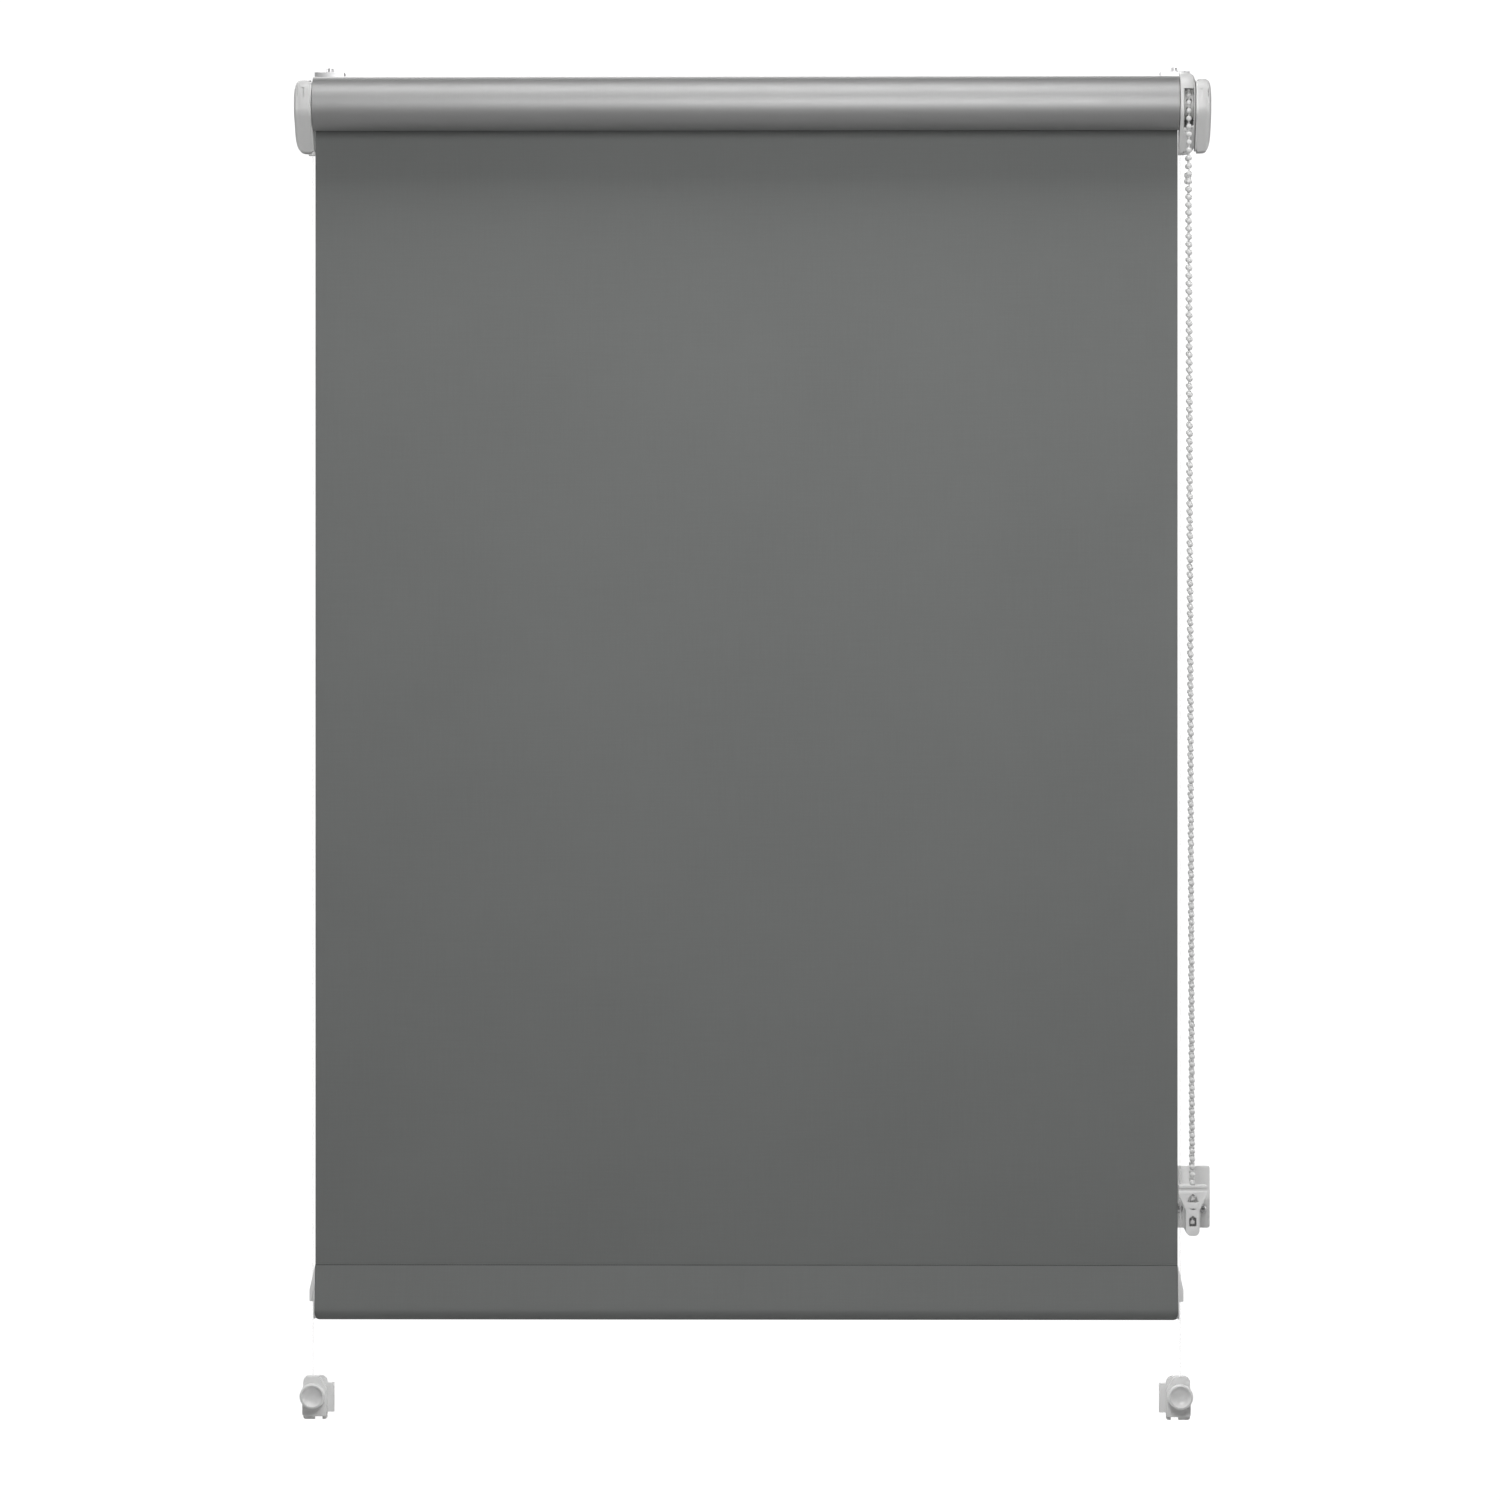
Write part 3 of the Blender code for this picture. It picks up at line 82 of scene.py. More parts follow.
# Places and sizes that several pieces share, in metres.
FABRIC_HALF = 0.330
CLOTH_THICKNESS = 0.0005
ROLL_Y, ROLL_Z = -0.0336, -0.024
ROLL_CENTRE = Vector((0, ROLL_Y, ROLL_Z))
ROLL_RADIUS = 0.0208
SEAM_Z = -0.9105
PITCH_RADIUS = 0.01159
BEAD_PITCH = 0.006
CHAIN_X, CHAIN_END_X = 0.3372, 0.3403
CHAIN_END_Z = -0.8763
KNOB_Z = -1.0113
WIRE_X, WIRE_Y = 0.3319, -0.0115
HOLDER_FRONT = -0.0436
TURN = 2 * math.pi
WHITE_LIGHT = (1.0, 1.0, 1.0, 1.0)


class Side(Enum):
    """The two ends of the blind; the chain is on the right."""

    LEFT = -1
    RIGHT = 1

    @property
    def label(self) -> str:
        """The side's name as piece names end with it."""
        return self.name.lower()


class Axis(Enum):
    """World axes that a turned or extruded piece may lie along."""

    X = ((0, 0, 1), (1, 0, 0), (0, 1, 0))
    Y = ((1, 0, 0), (0, 0, -1), (0, 1, 0))
    Z = ((1, 0, 0), (0, 1, 0), (0, 0, 1))

    def matrix(self) -> Matrix:
        """The turn from a piece made along Z to this axis."""
        return Matrix(self.value).to_4x4()


def even(start: float, stop: float, steps: int) -> list[float]:
    """Evenly spaced places.

    Args:
        start: The first.
        stop: The last.
        steps: How many steps between them.

    Returns:
        steps + 1 places.
    """
    return [start + (stop - start) * i / steps for i in range(steps + 1)]


def around(x: float, radius: float, angle: float, centre: Vector = ROLL_CENTRE) -> Vector:
    """A place on a circle about an axis along X.

    Args:
        x: The circle's place along X.
        radius: Its radius.
        angle: From +Y towards +Z, in radians.
        centre: A point on the axis.

    Returns:
        The place.
    """
    return Vector((x, centre.y + radius * math.cos(angle), centre.z + radius * math.sin(angle)))


# ---------------------------------------------------------------- node graphs


class Graph:
    """A node tree with short calls to add nodes and join their sockets."""

    def __init__(self, tree: bpy.types.NodeTree) -> None:
        """Keep the tree.

        Args:
            tree: The shader or geometry tree to add to.
        """
        self.tree = tree

    def feed(self, node: Node, inputs: dict) -> None:
        """Set or join a node's inputs.

        Args:
            node: The node.
            inputs: Values, output sockets or lists of them, by the input's name or number.
        """
        for key, given in inputs.items():
            for value in given if isinstance(given, list) else [given]:
                if isinstance(value, bpy.types.NodeSocket):
                    self.tree.links.new(value, node.inputs[key])
                else:
                    node.inputs[key].default_value = value

    def node(self, kind: str, inputs: dict | None = None, **settings: object) -> Node:
        """Add a node.

        Args:
            kind: The node's type name.
            inputs: What its inputs get, as feed() takes it.
            settings: Properties to set on the node.

        Returns:
            The new node.
        """
        node = self.tree.nodes.new(kind)
        for key, value in settings.items():
            setattr(node, key, value)
        self.feed(node, inputs or {})
        return node

    def add(self, kind: str, inputs: dict | None = None, **settings: object) -> Socket:
        """Add a node as node() does, and return its first output."""
        return self.node(kind, inputs, **settings).outputs[0]

    def math(self, operation: str, a: object, b: object = 0.0, c: object = 0.0) -> Socket:
        """Add a Math node and return its result.

        Args:
            operation: The Math node's operation.
            a: First value or socket.
            b: Second value or socket.
            c: Third value or socket.

        Returns:
            The output socket.
        """
        return self.add("ShaderNodeMath", {0: a, 1: b, 2: c}, operation=operation)

    def scaled(self, vector: Socket, by: object) -> Socket:
        """Multiply a vector by another, part by part."""
        return self.add("ShaderNodeVectorMath", {0: vector, 1: by}, operation="MULTIPLY")

    def blend(self, factor: Socket, a: object, b: object) -> Socket:
        """Mix two colours.

        Args:
            factor: Share of the second colour.
            a: First colour or socket.
            b: Second colour or socket.

        Returns:
            The mixed colour's socket.
        """
        return self.node("ShaderNodeMix", {0: factor, 6: a, 7: b}, data_type="RGBA").outputs[2]

    def noise(self, vector: Socket, scale: object, detail: float = 2.0) -> Socket:
        """Add a noise texture and return its value, 0 to 1.

        Args:
            vector: Coordinates socket.
            scale: Scale value or socket.
            detail: Octaves.

        Returns:
            The factor's socket.
        """
        return self.add("ShaderNodeTexNoise", {"Vector": vector, "Scale": scale, "Detail": detail})

    def shared(self, tree: bpy.types.NodeTree, **inputs: object) -> Sockets:
        """Add one of the shared groups and return its outputs by name."""
        return self.node("ShaderNodeGroup", inputs, node_tree=tree).outputs

    def ramp(self, value: Socket, given: tuple[float, float], made: tuple[float, float]) -> Socket:
        """Map a value from one range to another.

        Args:
            value: The value's socket.
            given: The range it has.
            made: The range it gets, and is kept within.

        Returns:
            The new value's socket.
        """
        return self.add("ShaderNodeMapRange", {0: value, **dict(enumerate((*given, *made), 1))})


SOCKET_KINDS = {float: "Float", int: "Int", tuple: "Vector", type(None): "Material"}


def add_inputs(tree: bpy.types.NodeTree, inputs: dict[str, object]) -> None:
    """Give a node tree its inputs.

    Args:
        tree: The tree.
        inputs: Defaults by name: a float, an int, a vector's tuple, or None for a material.
    """
    for label, value in inputs.items():
        kind = "NodeSocket" + SOCKET_KINDS[type(value)]
        socket = tree.interface.new_socket(label, in_out="INPUT", socket_type=kind)
        if value is not None:
            socket.default_value = value


def group(
    name: str, inputs: dict[str, object], fill: Callable[[Graph, Sockets], Sockets]
) -> bpy.types.NodeTree:
    """Build a shader node group that turns a place into masks and heights.

    Args:
        name: The group's name.
        inputs: Defaults of its inputs after Vector.
        fill: Adds its nodes, and returns the sockets to put out by name.

    Returns:
        The node group.
    """
    tree = bpy.data.node_groups.new(name, "ShaderNodeTree")
    add_inputs(tree, {"Vector": (0.0, 0.0, 0.0), **inputs})
    graph = Graph(tree)
    made = fill(graph, graph.node("NodeGroupInput").outputs)
    for label in made:
        tree.interface.new_socket(label, in_out="OUTPUT", socket_type="NodeSocketFloat")
    graph.node("NodeGroupOutput", made)
    return tree


def fill_mould(graph: Graph, given: Sockets) -> Sockets:
    """Fine spark-eroded mould texture with faint flow marks and handling wear."""
    fine = graph.noise(given["Vector"], given["Scale"], 3.0)
    broad = graph.noise(given["Vector"], graph.math("MULTIPLY", given["Scale"], 0.03))
    return {
        "Height": fine,
        "Tint": graph.math("MULTIPLY_ADD", broad, 0.5, 0.25),
        "Wear": graph.math("MULTIPLY_ADD", fine, 0.4, graph.math("MULTIPLY", broad, 0.6)),
    }


def fill_weave(graph: Graph, given: Sockets) -> Sockets:
    """Plain weave: warp and weft that pass over each other in turn, with uneven yarns."""
    parts = graph.node("ShaderNodeSeparateXYZ", {0: given["Vector"]}).outputs
    turns = graph.math("DIVIDE", math.pi, given["Pitch"])
    waves, cells = [], []
    for part in parts[:2]:
        angle = graph.math("MULTIPLY", part, turns)
        waves.append(graph.math("ABSOLUTE", graph.math("SINE", angle)))
        cells.append(graph.math("FLOOR", graph.math("DIVIDE", angle, math.pi)))
    over = graph.math("PINGPONG", graph.math("ADD", *cells), 1.0)
    under = graph.math("SUBTRACT", 1.0, over)
    yarns = []
    for (along, across), shown in ((waves, over), (waves[::-1], under)):
        long, short = graph.math("POWER", along, 0.6), graph.math("POWER", across, 0.3)
        crown = graph.math("MULTIPLY", long, short)
        yarns.append(graph.math("MULTIPLY", crown, shown))
    slubs = [
        graph.noise(graph.scaled(given["Vector"], stretch), 1.0)
        for stretch in ((900.0, 25.0, 1.0), (25.0, 900.0, 1.0))
    ]
    return {
        "Height": graph.math("ADD", *yarns),
        "Yarn": graph.math("MULTIPLY", graph.math("ADD", *slubs), 0.5),
    }


def fill_brushed(graph: Graph, given: Sockets) -> Sockets:
    """Drawn or rolled metal: long fine streaks and a cloudy plated tone."""
    lines = graph.noise(graph.scaled(given["Vector"], given["Stretch"]), 1.0, 3.0)
    cloud = graph.noise(given["Vector"], 140.0)
    tint = graph.math("MULTIPLY", graph.math("ADD", lines, cloud), 0.5)
    return {"Height": lines, "Tint": tint}


def fill_dust(graph: Graph, given: Sockets) -> Sockets:
    """A broad, faint unevenness of tone, as handling and dust leave."""
    cloud = graph.noise(given["Vector"], given["Scale"], 4.0)
    share = graph.ramp(cloud, (0.35, 0.75), (0.0, 1.0))
    return {"Mask": graph.math("MULTIPLY", share, given["Amount"])}


MOULD = group("mould_texture", {"Scale": 1500.0}, fill_mould)
WEAVE = group("plain_weave", {"Pitch": 0.0006}, fill_weave)
BRUSHED = group("brushed_metal", {"Stretch": (0.0, 0.0, 0.0)}, fill_brushed)
DUST = group("dust", {"Scale": 12.0, "Amount": 1.0}, fill_dust)


# ---------------------------------------------------------------- finishes


def shade(colour: Colour, factor: float) -> tuple[float, float, float, float]:
    """A colour made lighter or darker.

    Args:
        colour: Linear red, green and blue.
        factor: What to multiply it by.

    Returns:
        The colour with alpha 1.
    """
    return (*(min(1.0, c * factor) for c in colour), 1.0)


@dataclass(frozen=True)
class Finish:
    """What every finish has: a name, a base colour and a mean roughness."""

    name: str
    colour: Colour
    roughness: float

    def build(self) -> Material:
        """Make the material."""
        material = bpy.data.materials.new(self.name)
        material.use_nodes = True
        graph = Graph(material.node_tree)
        graph.feed(material.node_tree.nodes["Principled BSDF"], self.inputs(graph))
        return material

    def inputs(self, graph: Graph) -> dict[str, object]:
        """Add the finish's nodes.

        Args:
            graph: The material's graph.

        Returns:
            What the Principled node's inputs get.
        """
        raise NotImplementedError

    def dusted(
        self, graph: Graph, place: Socket, tone: Socket, dust: tuple[float, float, float]
    ) -> Socket:
        """Lay dust over a tone.

        Args:
            graph: The material's graph.
            place: Coordinates socket.
            tone: The clean colour.
            dust: Its scale, its amount, and what it multiplies the base colour by.

        Returns:
            The dusted colour's socket.
        """
        scale, amount, factor = dust
        mask = graph.shared(DUST, Vector=place, Scale=scale, Amount=amount)["Mask"]
        return graph.blend(mask, tone, shade(self.colour, factor))

    def wear(self, graph: Graph, mask: Socket, ends: tuple[float, float], spread: float) -> Socket:
        """A roughness that follows a mask, as far below the mean as above it.

        Args:
            graph: The material's graph.
            mask: The mask's socket.
            ends: The part of the mask's range that counts.
            spread: How far it goes from the mean.

        Returns:
            The roughness's socket.
        """
        return graph.ramp(mask, ends, (self.roughness - spread, self.roughness + spread))

    @staticmethod
    def bump(graph: Graph, height: Socket, strength: float, depth: float) -> Socket:
        """Turn a height into a normal.

        Args:
            graph: The material's graph.
            height: The height's socket.
            strength: Bump strength.
            depth: Bump distance in metres.

        Returns:
            The normal's socket.
        """
        inputs = {"Strength": strength, "Distance": depth, "Height": height}
        return graph.add("ShaderNodeBump", inputs)


@dataclass(frozen=True)
class Plastic(Finish):
    """A moulded plastic finish."""

    grain: float = 1500.0
    depth: float = 0.00006
    gloss: float = 0.0

    def inputs(self, graph: Graph) -> dict[str, object]:
        """Mould texture, faint flow marks and a little dust."""
        place = graph.node("ShaderNodeTexCoord").outputs["Object"]
        mould = graph.shared(MOULD, Vector=place, Scale=self.grain)
        tone = graph.blend(mould["Tint"], shade(self.colour, 0.965), shade(self.colour, 1.02))
        return {
            "Base Color": self.dusted(graph, place, tone, (55.0, 0.5, 0.94)),
            "Roughness": self.wear(graph, mould["Wear"], (0.3, 0.7), 0.07),
            "Coat Weight": self.gloss,
            "Coat Roughness": 0.12,
            "Normal": self.bump(graph, mould["Height"], 0.35, self.depth),
        }


@dataclass(frozen=True)
class Metal(Finish):
    """A plated, drawn or brushed metal finish."""

    stretch: Colour = (1500.0, 1500.0, 40.0)

    def inputs(self, graph: Graph) -> dict[str, object]:
        """Streaks along the drawing direction and a cloudy tone."""
        place = graph.node("ShaderNodeTexCoord").outputs["Object"]
        made = graph.shared(BRUSHED, Vector=place, Stretch=self.stretch)
        tint, rough = made["Tint"], (self.roughness - 0.08, self.roughness + 0.1)
        return {
            "Base Color": graph.blend(tint, shade(self.colour, 0.86), shade(self.colour, 1.1)),
            "Roughness": graph.ramp(tint, (0.3, 0.7), rough),
            "Metallic": 1.0,
            "Normal": self.bump(graph, made["Height"], 0.3, 0.00004),
        }


@dataclass(frozen=True)
class Cloth(Finish):
    """Woven cloth, read from the piece's own UV map, which is in metres."""

    pitch: float = 0.00062
    depth: float = 0.00012
    metallic: float = 0.0
    sheen: float = 0.0
    strength: float = 0.5

    def inputs(self, graph: Graph) -> dict[str, object]:
        """The weave, its uneven yarns, painted shade in the low places between yarns, and a little
        dust.
        """
        place = graph.add("ShaderNodeUVMap", uv_map="cloth")
        weave = graph.shared(WEAVE, Vector=place, Pitch=self.pitch)
        yarn = graph.blend(weave["Yarn"], shade(self.colour, 0.84), shade(self.colour, 1.16))
        # Painted shade: the colour darkens to 0.72 of the cloth's where the weave is low, standing
        # in for shade between the yarns.
        yarn_with_painted_shade = graph.blend(weave["Height"], shade(self.colour, 0.72), yarn)
        return {
            "Base Color": self.dusted(graph, place, yarn_with_painted_shade, (7.0, 0.25, 1.04)),
            "Roughness": self.wear(graph, weave["Yarn"], (0.2, 0.8), 0.06),
            "Metallic": self.metallic,
            "Sheen Weight": self.sheen,
            "Sheen Roughness": 0.5,
            "Normal": self.bump(graph, weave["Height"], self.strength, self.depth),
        }


@dataclass(frozen=True)
class Monofilament(Finish):
    """Clear drawn nylon."""

    def inputs(self, graph: Graph) -> dict[str, object]:
        """A clear body with a faintly uneven surface."""
        cloud = graph.noise(graph.node("ShaderNodeTexCoord").outputs["Object"], 60.0)
        return {
            "Base Color": graph.blend(cloud, shade(self.colour, 0.97), shade(self.colour, 1.0)),
            "Roughness": self.wear(graph, cloud, (0.3, 0.7), 0.04),
            "Transmission Weight": 0.85,
            "IOR": 1.12,
        }


class Finishes:
    """Every finish of the blind, built once."""

    def __init__(self) -> None:
        """Build the materials."""
        self.white = Plastic("white_moulding", (0.70, 0.70, 0.695), 0.40).build()
        self.white_soft = Plastic(
            "white_fittings", (0.86, 0.86, 0.855), 0.38, grain=1300.0, depth=0.00005, gloss=0.1
        ).build()
        self.grey = Plastic("grey_moulding", (0.50, 0.50, 0.49), 0.45).build()
        self.bead = Plastic(
            "bead_plastic", (0.76, 0.76, 0.755), 0.30, grain=2200.0, depth=0.00002, gloss=0.2
        ).build()
        self.nylon = Monofilament("clear_nylon", (0.97, 0.97, 0.97), 0.12).build()
        self.zinc = Metal("zinc_plate", (0.70, 0.70, 0.705), 0.48).build()
        self.spring = Metal("spring_wire", (0.55, 0.55, 0.56), 0.3).build()
        self.aluminium = Metal(
            "drawn_aluminium", (0.72, 0.72, 0.73), 0.36, stretch=(40.0, 1500.0, 1500.0)
        ).build()
        self.cloth_front = Cloth("grey_cloth", (0.190, 0.197, 0.193), 0.85, sheen=0.12).build()
        self.cloth_back = Cloth(
            "silver_cloth", (0.41, 0.41, 0.41), 0.56, depth=0.00005, metallic=0.82, strength=0.2
        ).build()
        # Near-black weld colour: the weld marks are real, and their darkness paints the shadow line
        # under the hem seam.
        self.seam = Plastic("weld_with_painted_shade", (0.075, 0.078, 0.076), 0.7, grain=1800.0).build()
        self.foam = Plastic("foam_pad", (0.72, 0.72, 0.70), 0.9, grain=900.0, depth=0.0003).build()
        self.tape = Plastic("tape", (0.80, 0.80, 0.76), 0.6, grain=700.0).build()


FINISH = Finishes()


# ---------------------------------------------------------------- mesh making


def smooth(mesh: Mesh, angle: float) -> None:
    """Shade a mesh smooth, but for edges sharper than an angle in degrees."""
    mesh.polygons.foreach_set("use_smooth", [True] * len(mesh.polygons))
    mesh.set_sharp_from_angle(angle=math.radians(angle))


def link(mesh: Mesh, name: str, materials: Sequence[Material], angle: float = 35.0) -> Piece:
    """Put a mesh in the scene as a smooth-shaded piece.

    Args:
        mesh: The finished mesh, with its place in its points.
        name: The piece's name.
        materials: Its materials, by face index.
        angle: Edges sharper than this many degrees stay sharp.

    Returns:
        The piece.
    """
    piece = bpy.data.objects.new(name, mesh)
    bpy.context.scene.collection.objects.link(piece)
    slots = [0] * len(mesh.polygons)
    mesh.polygons.foreach_get("material_index", slots)
    mesh.materials.clear()
    for material in materials:
        mesh.materials.append(material)
    mesh.polygons.foreach_set("material_index", slots)
    smooth(mesh, angle)
    mesh.update()
    return piece


def tidy(mesh: Mesh, merge: float = 0.000002) -> Mesh:
    """Merge doubles and turn every face outwards.

    Args:
        mesh: The mesh to change.
        merge: Merge distance in metres; 0 merges nothing.

    Returns:
        The same mesh.
    """
    bm = bmesh.new()
    bm.from_mesh(mesh)
    if merge:
        bmesh.ops.remove_doubles(bm, verts=bm.verts, dist=merge)
    bmesh.ops.recalc_face_normals(bm, faces=bm.faces)
    if bm.calc_volume(signed=True) < 0:
        bmesh.ops.reverse_faces(bm, faces=bm.faces)
    bm.to_mesh(mesh)
    bm.free()
    return mesh


def points_mesh(name: str, points: Sequence[Sequence[float]], joined: bool = False) -> Mesh:
    """A mesh of loose points, or of points joined in a line.

    Args:
        name: The mesh's name.
        points: Their places.
        joined: Whether each is joined to the next.

    Returns:
        The mesh.
    """
    mesh = bpy.data.meshes.new(name)
    edges = [(i, i + 1) for i in range(len(points) - 1)] if joined else []
    mesh.from_pydata([tuple(p) for p in points], edges, [])
    return mesh


def loft(name: str, rings: Sequence[Sequence[Vector]], closed: bool = False) -> Mesh:
    """Join rings of points into a closed mesh.

    Args:
        name: The mesh's name.
        rings: The rings in order; a ring of one point is a pole.
        closed: Whether the last ring joins the first. If not, both end rings are filled.

    Returns:
        The mesh.
    """
    starts = [0, *accumulate(len(ring) for ring in rings)]
    rows = [range(start, stop) for start, stop in zip(starts, starts[1:])]
    faces = [] if closed else [list(row) for row in (rows[0], rows[-1]) if len(row) > 1]
    for first, second in zip(rows, rows[1:] + rows[:1] if closed else rows[1:]):
        a, b = len(first), len(second)
        for i in range(max(a, b)):
            corners = (first[i % a], first[(i + 1) % a], second[(i + 1) % b], second[i % b])
            faces.append(list(dict.fromkeys(corners)))
    mesh = bpy.data.meshes.new(name)
    points = [tuple(p) for ring in rings for p in ring]
    mesh.from_pydata(points, [], [face for face in faces if len(face) > 2])
    return tidy(mesh)


def settle(piece: Piece) -> Piece:
    """Replace a piece's mesh by what its modifiers make of it, and remove them.

    Args:
        piece: The piece.

    Returns:
        The same piece.
    """
    bpy.context.view_layer.update()
    shape = piece.evaluated_get(bpy.context.evaluated_depsgraph_get())
    mesh = bpy.data.meshes.new_from_object(shape)
    piece.modifiers.clear()
    piece.data = mesh
    return piece


def arc_corners(corners: Sequence[Corner], steps: int = 10) -> Outline:
    """Turn (u, v, radius) corners into an outline with arcs.

    Args:
        corners: The corners in order.
        steps: Points per arc, less one.

    Returns:
        The outline's points.
    """
    points: Outline = []
    for index, (u, v, radius) in enumerate(corners):
        corner = Vector((u, v))
        before = (Vector(corners[index - 1][:2]) - corner).normalized()
        after = (Vector(corners[(index + 1) % len(corners)][:2]) - corner).normalized()
        half = before.angle(after) / 2
        centre = corner + (before + after).normalized() * (radius / math.sin(half))
        reach = radius / math.tan(half)
        first, last = corner + before * reach - centre, corner + after * reach - centre
        start = math.atan2(first.y, first.x)
        sweep = (math.atan2(last.y, last.x) - start + math.pi) % TURN - math.pi
        for angle in even(start, start + sweep, steps):
            across, up = radius * math.cos(angle), radius * math.sin(angle)
            points.append((centre.x + across, centre.y + up))
    return points


def prism(name: str, outline: Outline, axis: Axis, span: tuple[float, float]) -> Mesh:
    """Extrude an outline along an axis.

    Args:
        name: The mesh's name.
        outline: Points on the other two axes, in the order the axis gives.
        axis: The axis.
        span: Where it starts and ends along the axis.

    Returns:
        A closed mesh.
    """
    turn, sign = axis.matrix(), -1 if axis is Axis.Y else 1
    return loft(name, [[turn @ Vector((u, v, sign * w)) for u, v in outline] for w in span])


def box_mesh(name: str, low: Sequence[float], high: Sequence[float]) -> Mesh:
    """A plain block, used only to cut with.

    Args:
        name: The mesh's name.
        low: Its lowest corner.
        high: Its highest corner.

    Returns:
        The mesh.
    """
    outline = [(low[0], low[1]), (high[0], low[1]), (high[0], high[1]), (low[0], high[1])]
    return prism(name, outline, Axis.Z, (low[2], high[2]))


def lathe(name: str, profile: Outline, axis: Axis, centre: Vector, segments: int = 48) -> Mesh:
    """Turn a profile of (distance, radius) about an axis through centre.

    Args:
        name: The mesh's name.
        profile: Runs from pole to pole, or round a ring as a closed loop.
        axis: The axis.
        centre: A point on it.
        segments: Steps round.

    Returns:
        A closed mesh.
    """
    place = Matrix.Translation(centre) @ axis.matrix()
    rings = [
        [
            place @ Vector((radius * math.cos(angle), radius * math.sin(angle), distance))
            for angle in (even(0.0, TURN, segments)[:-1] if radius > 0 else [0.0])
        ]
        for distance, radius in profile
    ]
    return loft(name, rings, closed=profile[0][1] > 0)


def scaled_rings(
    corners: Sequence[Corner], centre: tuple[float, float], rings: Outline
) -> list[list[Vector]]:
    """A (y, z) outline drawn in towards its centre, ring by ring.

    Args:
        corners: The outline's corners.
        centre: The (y, z) place it closes towards.
        rings: (x, scale) of each ring.

    Returns:
        The rings' points.
    """
    y0, z0 = centre
    outline = arc_corners(corners)
    return [
        [Vector((x, y0 + (y - y0) * scale, z0 + (z - z0) * scale)) for y, z in outline]
        for x, scale in rings
    ]


def cut(piece: Piece, cutters: Sequence[Mesh], operation: str = "DIFFERENCE") -> Piece:
    """Cut meshes out of a piece, or add them to it, and keep the result.

    Args:
        piece: The piece to change.
        cutters: The other meshes.
        operation: DIFFERENCE or UNION.

    Returns:
        The same piece.
    """
    helpers = []
    for mesh in cutters:
        helper = bpy.data.objects.new(mesh.name + "_cutter", mesh)
        bpy.context.scene.collection.objects.link(helper)
        change = piece.modifiers.new(mesh.name, "BOOLEAN")
        change.operation, change.solver, change.object = operation, "EXACT", helper
        helpers.append(helper)
    settle(piece)
    for helper in helpers:
        bpy.data.objects.remove(helper, do_unlink=True)
    return piece


def bevel(piece: Piece, width: float, segments: int = 2, angle: float = 32.0) -> Piece:
    """Round a piece's sharp edges.

    Args:
        piece: The piece.
        width: The rounding's width in metres.
        segments: Steps across it.
        angle: Edges sharper than this are rounded, in degrees.

    Returns:
        The same piece, settled and smooth.
    """
    change = piece.modifiers.new("edges", "BEVEL")
    change.width, change.segments = width, segments
    change.limit_method, change.angle_limit = "ANGLE", math.radians(angle)
    change.use_clamp_overlap, change.harden_normals = True, False
    settle(piece)
    smooth(piece.data, 38.0)
    return piece


def place_piece(piece: Piece, body: str, slot: str, *nodes: str) -> Piece:
    """Make a piece ride on a body and stand for CAD nodes.

    Args:
        piece: The finished piece.
        body: The body's name.
        slot: Not used.
        nodes: CAD nodes that it stands for.

    Returns:
        The same piece.
    """
    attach(piece, body)
    if nodes:
        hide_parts(*nodes)
    LOG.info("%s: %d faces on %s", piece.name, len(piece.data.polygons), body)
    return piece


def softened(
    node: str, name: str, slot: str, material: Material, width: float, body: str = "mounting",
    cutters: Sequence[Mesh] = (),
) -> Piece:
    """A node's own shape with its facets merged, details cut in and its edges rounded.

    Args:
        node: The CAD node that the piece stands for.
        name: The piece's name.
        slot: The record's material slot.
        material: Its finish.
        width: Edge rounding in metres.
        body: The body it rides on.
        cutters: Meshes to cut away first.

    Returns:
        The piece.
    """
    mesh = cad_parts[node].data.copy()
    bm = bmesh.new()
    bm.from_mesh(mesh)
    bmesh.ops.remove_doubles(bm, verts=bm.verts, dist=0.00001)
    bmesh.ops.dissolve_limit(
        bm, angle_limit=math.radians(1.0), verts=bm.verts, edges=bm.edges, delimit=set()
    )
    bm.to_mesh(mesh)
    bm.free()
    piece = link(mesh, name, [material])
    if cutters:
        cut(piece, cutters)
    bevel(piece, width)
    return place_piece(piece, body, slot, node)


